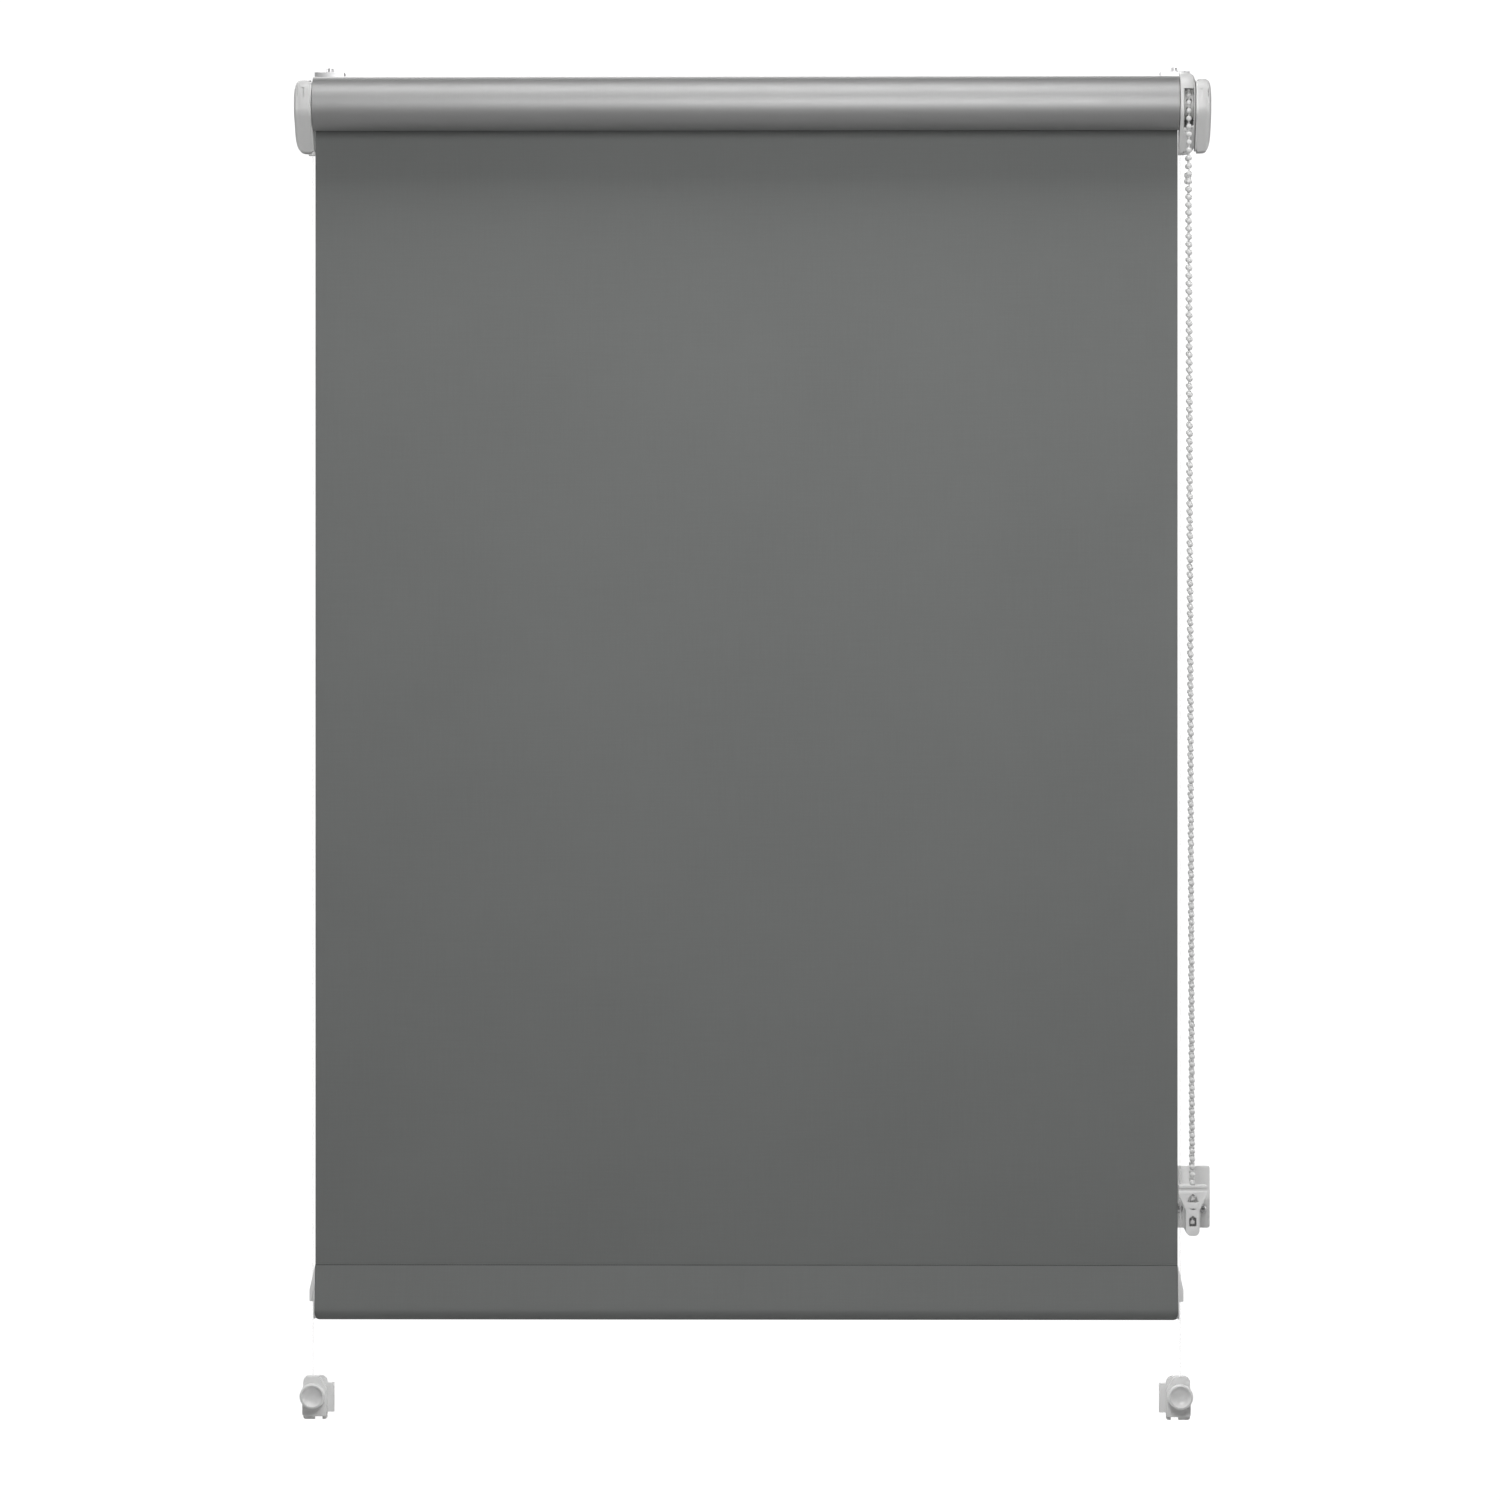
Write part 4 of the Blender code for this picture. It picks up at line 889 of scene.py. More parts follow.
def cloth_mesh(
    name: str, front: Outline, back: Outline, spans: Sequence[float],
    shape: Callable[[Vector], Vector] = Vector, looped: bool = False,
) -> Mesh:
    """A sheet with thickness, swept along X from two (y, z) lines, with a UV map in metres.

    The back line's faces take material 1, and the rest material 0.

    Args:
        name: The mesh's name.
        front: The room side's line, or a sleeve's outside.
        back: The window side's line, with as many points.
        spans: X places of the sheet's columns.
        shape: Moves each point.
        looped: Whether the lines are closed, so that the sheet is a sleeve.

    Returns:
        A closed mesh.
    """
    rows, columns = len(front), len(spans)
    ahead = front[1:] + front[:1] if looped else front[1:]
    run = [0.0, *accumulate(math.dist(start, stop) for start, stop in zip(front, ahead))]
    points = [tuple(shape(Vector((x, *p)))) for line in (front, back) for x in spans for p in line]
    sides, faces = range(len(ahead)), []
    for c in range(columns - 1):
        for r in sides:
            faces.append(((0, c, r), (0, c + 1, r), (0, c + 1, r + 1), (0, c, r + 1)))
            faces.append(((1, c, r), (1, c, r + 1), (1, c + 1, r + 1), (1, c + 1, r)))
        for r in () if looped else (0, rows - 1):
            faces.append(((0, c, r), (0, c + 1, r), (1, c + 1, r), (1, c, r)))
    for c in (0, columns - 1):
        faces += [((0, c, r), (0, c, r + 1), (1, c, r + 1), (1, c, r)) for r in sides]
    mesh = bpy.data.meshes.new(name)
    numbered = [[(side * columns + c) * rows + r % rows for side, c, r in face] for face in faces]
    mesh.from_pydata(points, [], numbered)
    kinds = [int(all(side for side, _, _ in face)) for face in faces]
    mesh.polygons.foreach_set("material_index", kinds)
    layer = mesh.uv_layers.new(name="cloth")
    places = [(spans[c] + FABRIC_HALF, run[r]) for face in faces for _, c, r in face]
    layer.data.foreach_set("uv", [part for place in places for part in place])
    return tidy(mesh, 0.0)


# ---------------------------------------------------------------- geometry nodes


class Recipe:
    """A Geometry Nodes tree with named inputs that ends in Realize Instances and Set Material."""

    def __init__(
        self, name: str, inputs: dict[str, object], fill: Callable[[Graph, Sockets], list[Socket]]
    ) -> None:
        """Make the tree.

        Args:
            name: The tree's name.
            inputs: Defaults of its inputs between Geometry and Material.
            fill: Adds its nodes, and returns the geometry sockets to join.
        """
        self.tree = bpy.data.node_groups.new(name, "GeometryNodeTree")
        for way in ("INPUT", "OUTPUT"):
            self.tree.interface.new_socket("Geometry", in_out=way, socket_type="NodeSocketGeometry")
        add_inputs(self.tree, {**inputs, "Material": None})
        graph = Graph(self.tree)
        given = graph.node("NodeGroupInput").outputs
        join = graph.add("GeometryNodeJoinGeometry", {0: fill(graph, given)})
        real = graph.add("GeometryNodeRealizeInstances", {0: join})
        even_shade = graph.add("GeometryNodeSetShadeSmooth", {0: real})
        coat = {"Geometry": even_shade, "Material": given["Material"]}
        graph.node("NodeGroupOutput", {0: graph.add("GeometryNodeSetMaterial", coat)})

    def grow(self, name: str, seed: Mesh, material: Material, values: dict[str, object]) -> Piece:
        """Run the tree on a mesh and keep the result as a plain mesh.

        Args:
            name: The piece's name.
            seed: The mesh that the tree starts from.
            material: The piece's finish.
            values: Other input values by name.

        Returns:
            The piece.
        """
        piece = bpy.data.objects.new(name, seed)
        change = piece.modifiers.new(name, "NODES")
        change.node_group = self.tree
        values = {**values, "Material": material}
        for item in self.tree.interface.items_tree:
            if item.in_out == "INPUT" and item.name in values:
                change[item.identifier] = values[item.name]
        bpy.context.scene.collection.objects.link(piece)
        settle(piece)
        smooth(piece.data, 35.0)
        return piece


def on_points(graph: Graph, points: Socket, instance: Socket, **more: Socket) -> Socket:
    """Put an instance on every point."""
    inputs = {"Points": points, "Instance": instance, **more}
    return graph.add("GeometryNodeInstanceOnPoints", inputs)


def bead_parts(graph: Graph, given: Sockets) -> list[Socket]:
    """Beads on every point of a line, and the cord that runs through them."""
    ball = {"Segments": 12, "Rings": 8, "Radius": given["Bead Radius"]}
    ring = {"Resolution": 6, "Radius": given["Cord Radius"]}
    cord = {
        "Curve": graph.add("GeometryNodeMeshToCurve", {"Mesh": given["Geometry"]}),
        "Profile Curve": graph.add("GeometryNodeCurvePrimitiveCircle", ring),
        "Fill Caps": True,
    }
    beads = on_points(graph, given["Geometry"], graph.add("GeometryNodeMeshUVSphere", ball))
    return [beads, graph.add("GeometryNodeCurveToMesh", cord)]


def screw_parts(graph: Graph, given: Sockets) -> list[Socket]:
    """A cross-recessed screw at each point, its head towards local +Z."""

    def moved(shape: Socket, height: Socket) -> Socket:
        """A shape moved along Z."""
        place = graph.add("ShaderNodeCombineXYZ", {2: height})
        return graph.add("GeometryNodeTransform", {"Geometry": shape, "Translation": place})

    head = {
        "Vertices": 28, "Side Segments": 1, "Radius Top": given["Top Radius"],
        "Radius Bottom": given["Head Radius"], "Depth": given["Head Height"],
    }
    shank = {"Vertices": 20, "Radius": given["Shank Radius"], "Depth": given["Shank Length"]}
    long = graph.math("MULTIPLY", given["Top Radius"], 1.5)
    thin = graph.math("MULTIPLY", given["Top Radius"], 0.34)
    deep = graph.math("MULTIPLY", given["Head Height"], 1.1)
    arms = []
    for sides in ((long, thin, deep), (thin, long, deep)):
        size = graph.add("ShaderNodeCombineXYZ", dict(enumerate(sides)))
        arms.append(graph.add("GeometryNodeMeshCube", {"Size": size}))
    cross = graph.add("GeometryNodeMeshBoolean", {1: arms}, operation="UNION")
    cutout = graph.add(
        "GeometryNodeMeshBoolean",
        {0: graph.add("GeometryNodeMeshCone", head), 1: moved(cross, given["Head Height"])},
        operation="DIFFERENCE",
    )
    down = graph.math("MULTIPLY", given["Shank Length"], -0.5)
    stem = moved(graph.add("GeometryNodeMeshCylinder", shank), down)
    whole = graph.add("GeometryNodeJoinGeometry", {0: [cutout, stem]})
    turn = graph.add("FunctionNodeEulerToRotation", {0: given["Turn"]})
    return [on_points(graph, given["Geometry"], whole, Rotation=turn)]


def ridge_parts(graph: Graph, given: Sockets) -> list[Socket]:
    """Grip ridges that stand round a circle, each along local Z."""
    ring = {"Vertices": given["Count"], "Radius": given["Ring Radius"]}
    rib = {"Vertices": 8, "Radius": given["Ridge Radius"], "Depth": given["Length"]}
    circle = graph.add("GeometryNodeMeshCircle", ring)
    return [on_points(graph, circle, graph.add("GeometryNodeMeshCylinder", rib))]


def weld_parts(graph: Graph, given: Sockets) -> list[Socket]:
    """Short weld marks at an even spacing along X."""
    line = {
        "Count": given["Count"], "Start Location": given["Start"],
        "Offset": graph.add("ShaderNodeCombineXYZ", {0: given["Spacing"]}),
    }
    mark = graph.add("GeometryNodeMeshCube", {"Size": given["Mark Size"]})
    return [on_points(graph, graph.add("GeometryNodeMeshLine", line), mark)]


NO_TURN = (0.0, 0.0, 0.0)
BEADS = Recipe("bead_string", {"Bead Radius": 0.00225, "Cord Radius": 0.0005}, bead_parts)
SCREWS = Recipe(
    "recessed_screw",
    {"Head Radius": 0.003, "Top Radius": 0.002, "Head Height": 0.002, "Shank Radius": 0.0015,
     "Shank Length": 0.003, "Turn": NO_TURN},
    screw_parts,
)
RIDGES = Recipe(
    "grip_ridges",
    {"Count": 30, "Ring Radius": 0.009, "Ridge Radius": 0.0004, "Length": 0.006},
    ridge_parts,
)
WELDS = Recipe(
    "weld_marks",
    {"Count": 200, "Spacing": 0.003, "Mark Size": (0.0, 0.0, 0.0), "Start": (0.0, 0.0, 0.0)},
    weld_parts,
)


@dataclass(frozen=True)
class Screw:
    """The sizes of a cross-recessed screw and the turn of its head from +Z."""

    head_radius: float
    top_radius: float
    head_height: float
    shank_radius: float = 0.0015
    turn: tuple[float, float, float] = NO_TURN

    def build(self, name: str, node: str, body: str = "mounting") -> None:
        """Make it in a CAD screw's place.

        Args:
            name: The piece's name.
            node: The CAD screw.
            body: The body it rides on.
        """
        low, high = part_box(node)
        way = Euler(self.turn).to_matrix() @ Vector((0.0, 0.0, 1.0))
        length = abs(way.dot(high - low))
        seed = (low + high) / 2 + way * (length / 2 - self.head_height)
        sizes = {
            "Head Radius": self.head_radius, "Top Radius": self.top_radius,
            "Head Height": self.head_height, "Shank Radius": self.shank_radius,
            "Shank Length": length - self.head_height, "Turn": self.turn,
        }
        screw = SCREWS.grow(name, points_mesh(f"{name}_seed", [seed]), FINISH.zinc, sizes)
        place_piece(screw, body, "steel", node)


# ---------------------------------------------------------------- sub-assemblies


@dataclass
class ClothRoll:
    """The wound cloth: one sheet in a spiral, tapered where it leaves for the drop."""

    inner_radius: float = 0.0153
    gap: float = 0.00004
    steps_per_turn: int = 44
    taper_turns: float = 0.2
    thinnest: float = 0.1

    def build(self) -> None:
        """Make the spiral sheet."""
        turns = (ROLL_RADIUS - self.inner_radius) / CLOTH_THICKNESS - 1
        steps = int(turns * self.steps_per_turn)
        lines: tuple[Outline, Outline] = ([], [])
        for i, share in enumerate(even(0.0, 1.0, steps)):
            low = self.inner_radius + CLOTH_THICKNESS * turns * share
            taper = min(1.0, (steps - i) / (self.steps_per_turn * self.taper_turns))
            full = self.thinnest + (1 - self.thinnest) * taper
            for line, radius in zip(lines, (low, low + (CLOTH_THICKNESS - self.gap) * full)):
                line.append(tuple(around(0, radius, TURN * turns * (1 - share)).yz))
        mesh = cloth_mesh("fabric_roll_cloth", *lines, even(-FABRIC_HALF, FABRIC_HALF, 12))
        piece = link(mesh, "rolled_cloth", [FINISH.cloth_front, FINISH.cloth_back], 60)
        place_piece(piece, "roller", "silver_fabric", "fabric_roll")


@dataclass
class ClothDrop:
    """The hanging cloth, from the back of the roll down to the hem seam."""

    front_y: float = -0.0125
    columns: int = 44
    rows: int = 70
    ripple: float = 0.00035
    curl: float = 0.00045
    curl_width: float = 0.02
    wrap_angle: float = 0.30
    tuck: float = 0.0006

    def bend(self, place: Vector) -> Vector:
        """Give the flat sheet its faint ripples and curled edges.

        Args:
            place: A point of the flat sheet.

        Returns:
            Where the point hangs.
        """
        fade = min(1.0, max(0.0, (ROLL_Z - place.z) / 0.12), max(0.0, (place.z - SEAM_Z) / 0.10))
        wave = noise.noise(Vector((place.x * 4.0, place.z * 1.6, 3.1)))
        edge = max(0.0, (abs(place.x) - (FABRIC_HALF - self.curl_width)) / self.curl_width)
        return place + Vector((0, (wave * self.ripple + edge * edge * self.curl) * fade, 0))

    def build(self) -> None:
        """Make the hanging sheet."""
        half = CLOTH_THICKNESS / 2
        middle = self.front_y + half
        lines: list[Outline] = []
        for offset in (-half, half):
            line = []
            for share in even(1.0, 0.0, 4)[:-1]:
                reach = middle - ROLL_Y + offset - self.tuck * share
                line.append(tuple(around(0, reach, self.wrap_angle * share).yz))
            lines.append(line + [(middle + offset, z) for z in even(ROLL_Z, SEAM_Z, self.rows)])
        mesh = cloth_mesh("hanging_cloth", *lines, self.spans(), self.bend)
        piece = link(mesh, "hanging_cloth", [FINISH.cloth_front, FINISH.cloth_back], 60)
        place_piece(piece, "mounting", "grey_fabric", "fabric_drop")
        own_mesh(piece)

    def spans(self) -> list[float]:
        """Column places: even, with closer ones near the side edges."""
        inner = even(-FABRIC_HALF + 0.012, FABRIC_HALF - 0.012, self.columns)
        edge = [FABRIC_HALF - inset for inset in (0.007, 0.003, 0.0)]
        return [-x for x in reversed(edge)] + inner + edge


@dataclass
class Hem:
    """The hem: a welded pocket of cloth round the weight bar, with an end cap at each side."""

    middle: float = -0.01225
    top_half: float = 0.0009
    front: float = 0.0120
    rear: float = 0.0030
    height: float = 0.0424
    front_round: float = 0.0072
    rear_round: float = 0.0050
    end_round: float = 0.0036
    flat_length: float = 0.0975
    weld_y: float = -0.01312
    weld_drop: float = 0.0012

    def outline(self, depth: float) -> Outline:
        """The pocket's section (y, z), made smaller all round by a depth."""
        top, low = self.top_half - depth * 0.86, SEAM_Z - self.height + depth
        slant = depth * 1.05
        corners = arc_corners([
            (self.middle + top, SEAM_Z - depth, 0.0003),
            (self.middle - top, SEAM_Z - depth, 0.0003),
            (self.middle - self.front + slant, low, self.front_round - depth),
            (self.middle + self.rear - slant, low, self.rear_round - depth),
        ])
        found: Outline = []
        for (u, v), (s, t) in zip(corners, corners[1:] + corners[:1]):
            steps = 8 if math.hypot(s - u, t - v) > 0.015 else 1
            found += zip(even(u, s, steps)[:-1], even(v, t, steps)[:-1])
        return found

    def round_end(self, place: Vector) -> Vector:
        """Draw the pocket's lower corners up where the cloth is sealed at its ends.

        Args:
            place: A point of the pocket.

        Returns:
            Where the point ends up.
        """
        reach = 3 * self.end_round
        into = abs(place.x) - (FABRIC_HALF - self.end_round)
        share = (SEAM_Z - self.height + reach - place.z) / reach
        if into <= 0 or share < 0:
            return place
        rise = self.end_round - math.sqrt(max(self.end_round**2 - into**2, 0.0))
        return place + Vector((0, 0, 0.8 * rise * share))

    def build(self) -> None:
        """Make the pocket, its weld marks, whose near-black colour paints the shadow line under the
        seam, and the end caps.
        """
        edge = [FABRIC_HALF - self.end_round * f for f in (1.0, 0.75, 0.5, 0.3, 0.15, 0.05, 0.0)]
        inner = even(-FABRIC_HALF + 0.01, FABRIC_HALF - 0.01, 30)
        mesh = cloth_mesh(
            "hem_pocket_cloth", self.outline(0.0), self.outline(CLOTH_THICKNESS),
            sorted([*(-x for x in edge), *inner, *edge]), self.round_end, looped=True,
        )
        pocket = link(mesh, "hem_pocket_cloth", [FINISH.cloth_front, FINISH.cloth_back], 50)
        place_piece(pocket, "bottom_bar", "grey_fabric", "hem_pocket")
        # The weld marks are real welds; their near-black colour is painted shade along the seam.
        start = (-FABRIC_HALF + 0.0010, self.weld_y, SEAM_Z - self.weld_drop)
        size = (0.0019, 0.0006, 0.0018)
        values = {"Count": 330, "Spacing": 0.0020, "Mark Size": size, "Start": start}
        seed = points_mesh("hem_weld_seed", [(0, 0, 0)])
        marks = WELDS.grow("hem_weld", seed, FINISH.seam, values)
        place_piece(marks, "bottom_bar", "grey_fabric")
        for label in (side.label for side in Side):
            node, name = f"bar_cap_{label}", f"bar_end_cap_{label}"
            softened(node, name, "white_plastic", FINISH.white_soft, 0.0002, "bottom_bar")


@dataclass
class EndBracket:
    """A clamp over the sash, the bracket base on it, and the cover that snaps over the base."""

    side: Side
    cover_start: float
    cover_end: float
    wall: float = 0.0013
    reach: float = 0.024
    centre: tuple[float, float] = (-0.0275, -0.0290)

    CORNERS = [
        (-0.0017, -0.0063, 0.002), (-0.0520, -0.0063, 0.009), (-0.0520, -0.0320, 0.012),
        (-0.0239, -0.0602, 0.004), (-0.0017, -0.0602, 0.002),
    ]
    CROWN = [
        (0.0, 1.0), (0.30, 1.0), (0.52, 0.995), (0.64, 0.98), (0.72, 0.955), (0.79, 0.915),
        (0.85, 0.86), (0.90, 0.79), (0.94, 0.70), (0.97, 0.59), (0.99, 0.46), (1.0, 0.30),
    ]
    # Cutting blocks: name, then the ends in distance from the middle, in y and in z.
    CUTS = {
        Side.LEFT: [
            ("tab_top", (0.3362, 0.3394), (-0.056, -0.0508), (-0.0132, -0.0127)),
            ("tab_in", (0.3360, 0.3367), (-0.056, -0.0506), (-0.0200, -0.0127)),
            ("tab_out", (0.3410, 0.3416), (-0.056, -0.0495), (-0.0190, -0.0122)),
            ("step_line", (0.3325, 0.3440), (-0.056, -0.0515), (-0.0318, -0.0315)),
            ("foot_room", (0.3295, 0.3353), (-0.0160, -0.0070), (-0.0625, -0.0515)),
        ],
        Side.RIGHT: [
            ("slot_in", (0.3460, 0.3474), (-0.056, -0.0508), (-0.0212, -0.0142)),
            ("slot_out", (0.3514, 0.3521), (-0.056, -0.0478), (-0.0204, -0.0144)),
        ],
    }

    def shell(self) -> Mesh:
        """The cover's hollow, crowned shell, open towards the middle of the blind."""
        start, sign = self.cover_start, self.side.value
        outside = [(start + (self.cover_end - start) * share, scale) for share, scale in self.CROWN]
        inside = [
            (max(x - self.wall, start), max(scale - self.wall / self.reach, 0.02))
            for x, scale in outside
        ]
        rings = [(sign * x, scale) for x, scale in outside[::-1] + inside]
        return loft(f"cover_{self.side.label}", scaled_rings(self.CORNERS, self.centre, rings))

    def cutters(self) -> list[Mesh]:
        """The release tab's slots, the joint line and the space for the wire's foot."""
        made = []
        for name, x, y, z in self.CUTS[self.side]:
            low, high = sorted(self.side.value * end for end in x)
            ends = (low, y[0], z[0]), (high, y[1], z[1])
            made.append(box_mesh(f"{name}_{self.side.label}", *ends))
        return made

    def build(self) -> None:
        """Make the cover, the base, the clamp, its jaw and its screw."""
        label = self.side.label
        cover = link(self.shell(), f"cover_{label}", [FINISH.white], 40)
        bevel(cut(cover, self.cutters()), 0.00022, 1, 50)
        place_piece(cover, "mounting", "white_plastic", f"end_cover_{label}")
        softened(f"bracket_base_{label}", f"base_{label}", "white_plastic", FINISH.white, 0.0003)
        softened(f"clamp_carrier_{label}", f"carrier_{label}", "steel", FINISH.zinc, 0.00025)
        jaw = f"jaw_{label}"
        softened(f"clamp_jaw_{label}", f"clamp_hook_{label}", "steel", FINISH.zinc, 0.0002, jaw)
        Screw(0.003, 0.0028, 0.0033).build(f"clamp_bolt_{label}", f"clamp_screw_{label}", jaw)


@dataclass
class ChainDrive:
    """The chain housing, the pocketed sprocket and what turns the tube."""

    bead_radius: float = 0.00235
    cord_radius: float = 0.0007
    rim_radius: float = 0.01289
    width: float = 0.0068
    bore: float = 0.0074
    pockets: int = 12
    steps: int = 240
    sleeve_length: float = 0.018
    sleeve_bore: float = 0.0062
    slot: tuple[float, float] = (0.33355, 0.34085)
    centre: tuple[float, float] = (-0.0280, -0.0315)

    CORNERS = [
        (-0.0061, -0.0008, 0.003), (-0.0500, -0.0008, 0.014), (-0.0500, -0.0340, 0.012),
        (-0.0240, -0.0615, 0.005), (-0.0061, -0.0615, 0.002),
    ]
    DOME = [
        (0.3306, 0.992), (0.3310, 1.0), (0.3360, 1.0), (0.3380, 0.99), (0.3395, 0.965),
        (0.3408, 0.925), (0.3417, 0.875), (0.3423, 0.81),
    ]

    def sprocket_radius(self, angle: float, x: float) -> float:
        """The wheel's radius where it is hollowed for the beads.

        Args:
            angle: Round the wheel, in radians from +Y.
            x: Distance from the wheel's middle, in metres.

        Returns:
            The radius in metres.
        """
        pitch = TURN / self.pockets
        off = (angle + pitch / 2) % pitch - pitch / 2
        spare = self.bead_radius**2 - (PITCH_RADIUS * math.sin(off)) ** 2 - x**2
        groove = self.cord_radius**2 - x**2
        radius = self.rim_radius
        if spare > 0:
            radius = min(radius, PITCH_RADIUS * math.cos(off) - math.sqrt(spare))
        if groove > 0:
            radius = min(radius, PITCH_RADIUS - math.sqrt(groove))
        return radius

    def build(self) -> None:
        """Make the housing, the sprocket and the axle screw."""
        self.build_housing()
        angles = even(0.0, TURN, self.steps)[:-1]
        half = self.width / 2
        bores = [[around(CHAIN_X + x, self.bore, angle) for angle in angles] for x in (-half, half)]
        rows = [
            [around(CHAIN_X + x, self.sprocket_radius(angle, x), angle) for angle in angles]
            for x in even(-half, half, 28)
        ]
        mesh = loft("bead_wheel", [bores[0], *rows, bores[1]], closed=True)
        wheel = link(mesh, "bead_wheel", [FINISH.grey], 40)
        right, outer, inner = CHAIN_X - half + 0.0005, self.bore - 0.0001, self.sleeve_bore
        left = right - 0.0005 - self.sleeve_length
        section = [(right, outer), (left, outer), (left, inner), (right, inner)]
        bm = bmesh.new()
        bm.from_mesh(wheel.data)
        bm.from_mesh(lathe("sleeve", section, Axis.X, ROLL_CENTRE))
        bm.to_mesh(wheel.data)
        bm.free()
        place_piece(wheel, "roller", "grey_plastic", "chain_sprocket")
        screw = Screw(0.0046, 0.0038, 0.0022, 0.0016, (0.0, math.pi / 2, 0.0))
        screw.build("axle_bolt", "axle_screw")

    def build_housing(self) -> None:
        """Make the domed housing, open outwards, with the chain's slots and the wire's foot."""
        room = [
            (0.3320, 0.93), (0.3324, 0.942),
            *((x - 0.0002, scale - 0.058) for x, scale in self.DOME[2:]), (0.3440, 0.70),
        ]
        solid, hollow = (
            loft(name, scaled_rings(self.CORNERS, self.centre, rings))
            for name, rings in (("drive_housing", self.DOME), ("housing_room", room))
        )
        housing = link(solid, "drive_housing", [FINISH.white], 40)
        cut(housing, [hollow])
        foot = box_mesh("wire_foot", (0.3304, -0.0155, -0.0618), (0.3349, -0.0075, -0.0523))
        cut(housing, [foot], "UNION")
        left, right = self.slot
        slots = [
            box_mesh(f"{name}_slot", (left, y[0], -0.0700), (right, y[1], top))
            for name, y, top in (
                ("front", (-0.0560, -0.0400), -0.0140),
                ("lower", (-0.0480, -0.0380), -0.0460),
                ("rear", (-0.0252, -0.0188), -0.0460),
            )
        ]
        neck = [(0.3290, 0), (0.3290, 0.008), (0.3320, 0.008), (0.3320, 0)]
        hole = [(-0.070, 0), (-0.070, 0.0008), (-0.0500, 0.0008), (-0.0500, 0)]
        cut(housing, [
            *slots,
            lathe("neck", neck, Axis.X, ROLL_CENTRE),
            lathe("wire_hole", hole, Axis.Z, Vector((WIRE_X, WIRE_Y, 0)), 16),
        ])
        bevel(housing, 0.00025, 2, 50)
        place_piece(housing, "mounting", "white_plastic", "chain_housing")


@dataclass
class BeadChain:
    """The endless bead chain and its joining clip."""

    hold_radius: float = 0.0055
    drop: float = 0.8583
    clip_length: float = 0.009
    clip_radius: float = 0.0029
    window_half: tuple[float, float] = (0.0009, 0.0012)

    def strand(self, side: int, z: float) -> Vector:
        """A place on one of the two straight strands.

        Args:
            side: 1 for the strand nearer the sash, -1 for the one nearer the room.
            z: Its height.

        Returns:
            The place.
        """
        share = (ROLL_Z - z) / self.drop
        offset = PITCH_RADIUS + (self.hold_radius - PITCH_RADIUS) * share
        return Vector((CHAIN_X + (CHAIN_END_X - CHAIN_X) * share, ROLL_Y + side * offset, z))

    def line(self) -> list[Vector]:
        """The chain's middle line, from the clip over the wheel and round in the holder."""
        hold = Vector((0, ROLL_Y, CHAIN_END_Z))
        return [
            *(self.strand(1, z) for z in even(-0.0755, ROLL_Z - 0.0005, 24)),
            *(around(CHAIN_X, PITCH_RADIUS, angle) for angle in even(0.0, math.pi, 60)),
            *(self.strand(-1, ROLL_Z - self.drop * share) for share in even(0.001, 0.999, 400)),
            *(around(CHAIN_END_X, self.hold_radius, a, hold) for a in even(math.pi, TURN, 40)),
            *(self.strand(1, z) for z in even(CHAIN_END_Z + 0.0005, -0.0855, 400)),
        ]

    def beads(self) -> list[Vector]:
        """Bead centres a pitch apart along the line, in step with the wheel's pockets."""
        line = self.line()
        wheel = next(i for i, p in enumerate(line) if p.z >= ROLL_Z)
        before, after = (self.spaced(path) for path in (line[wheel::-1], line[wheel:]))
        return before[::-1] + after[1:]

    @staticmethod
    def spaced(path: list[Vector]) -> list[Vector]:
        """Places a bead pitch apart along a path, the first at its start."""
        place, made = path[0], [path[0]]
        for start, stop in zip(path, path[1:]):
            while (stop - place).length >= BEAD_PITCH:
                a, b = start - place, stop - start
                qa, qb, qc = b.dot(b), 2 * a.dot(b), a.dot(a) - BEAD_PITCH**2
                t = (-qb + math.sqrt(max(qb * qb - 4 * qa * qc, 0.0))) / (2 * qa)
                start = place = start + b * min(max(t, 0.0), 1.0)
                made.append(place)
        return made

    def build(self) -> None:
        """Make the beads on their cord, and the clip."""
        seed = points_mesh("bead_centres", self.beads(), joined=True)
        radii = {"Bead Radius": 0.00225, "Cord Radius": 0.00055}
        chain = BEADS.grow("bead_string", seed, FINISH.bead, radii)
        place_piece(chain, "mounting", "bead_plastic", "bead_chain")
        low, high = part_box("chain_connector")
        middle, half, r = (low + high) / 2, self.clip_length / 2, self.clip_radius
        shares = [(1, 0), (1, 0.55), (0.86, 0.86), (0.6, 1), (0.3, 0.96), (0.12, 0.74)]
        profile = [(half * u, r * v) for u, v in shares]
        profile += [(-u, v) for u, v in reversed(profile)]
        name = "joining_clip"
        clip = link(lathe(name, profile, Axis.Z, middle, 24), name, [FINISH.bead], 45)
        wide, tall = self.window_half
        windows = [
            box_mesh(
                f"clip_window_{n}", (middle.x - wide, low.y - 0.001, z - tall),
                (middle.x + wide, high.y + 0.001, z + tall),
            )
            for n, z in enumerate((middle.z - 0.0026, middle.z + 0.0026))
        ]
        cut(clip, windows)
        place_piece(clip, "mounting", "bead_plastic", "chain_connector")


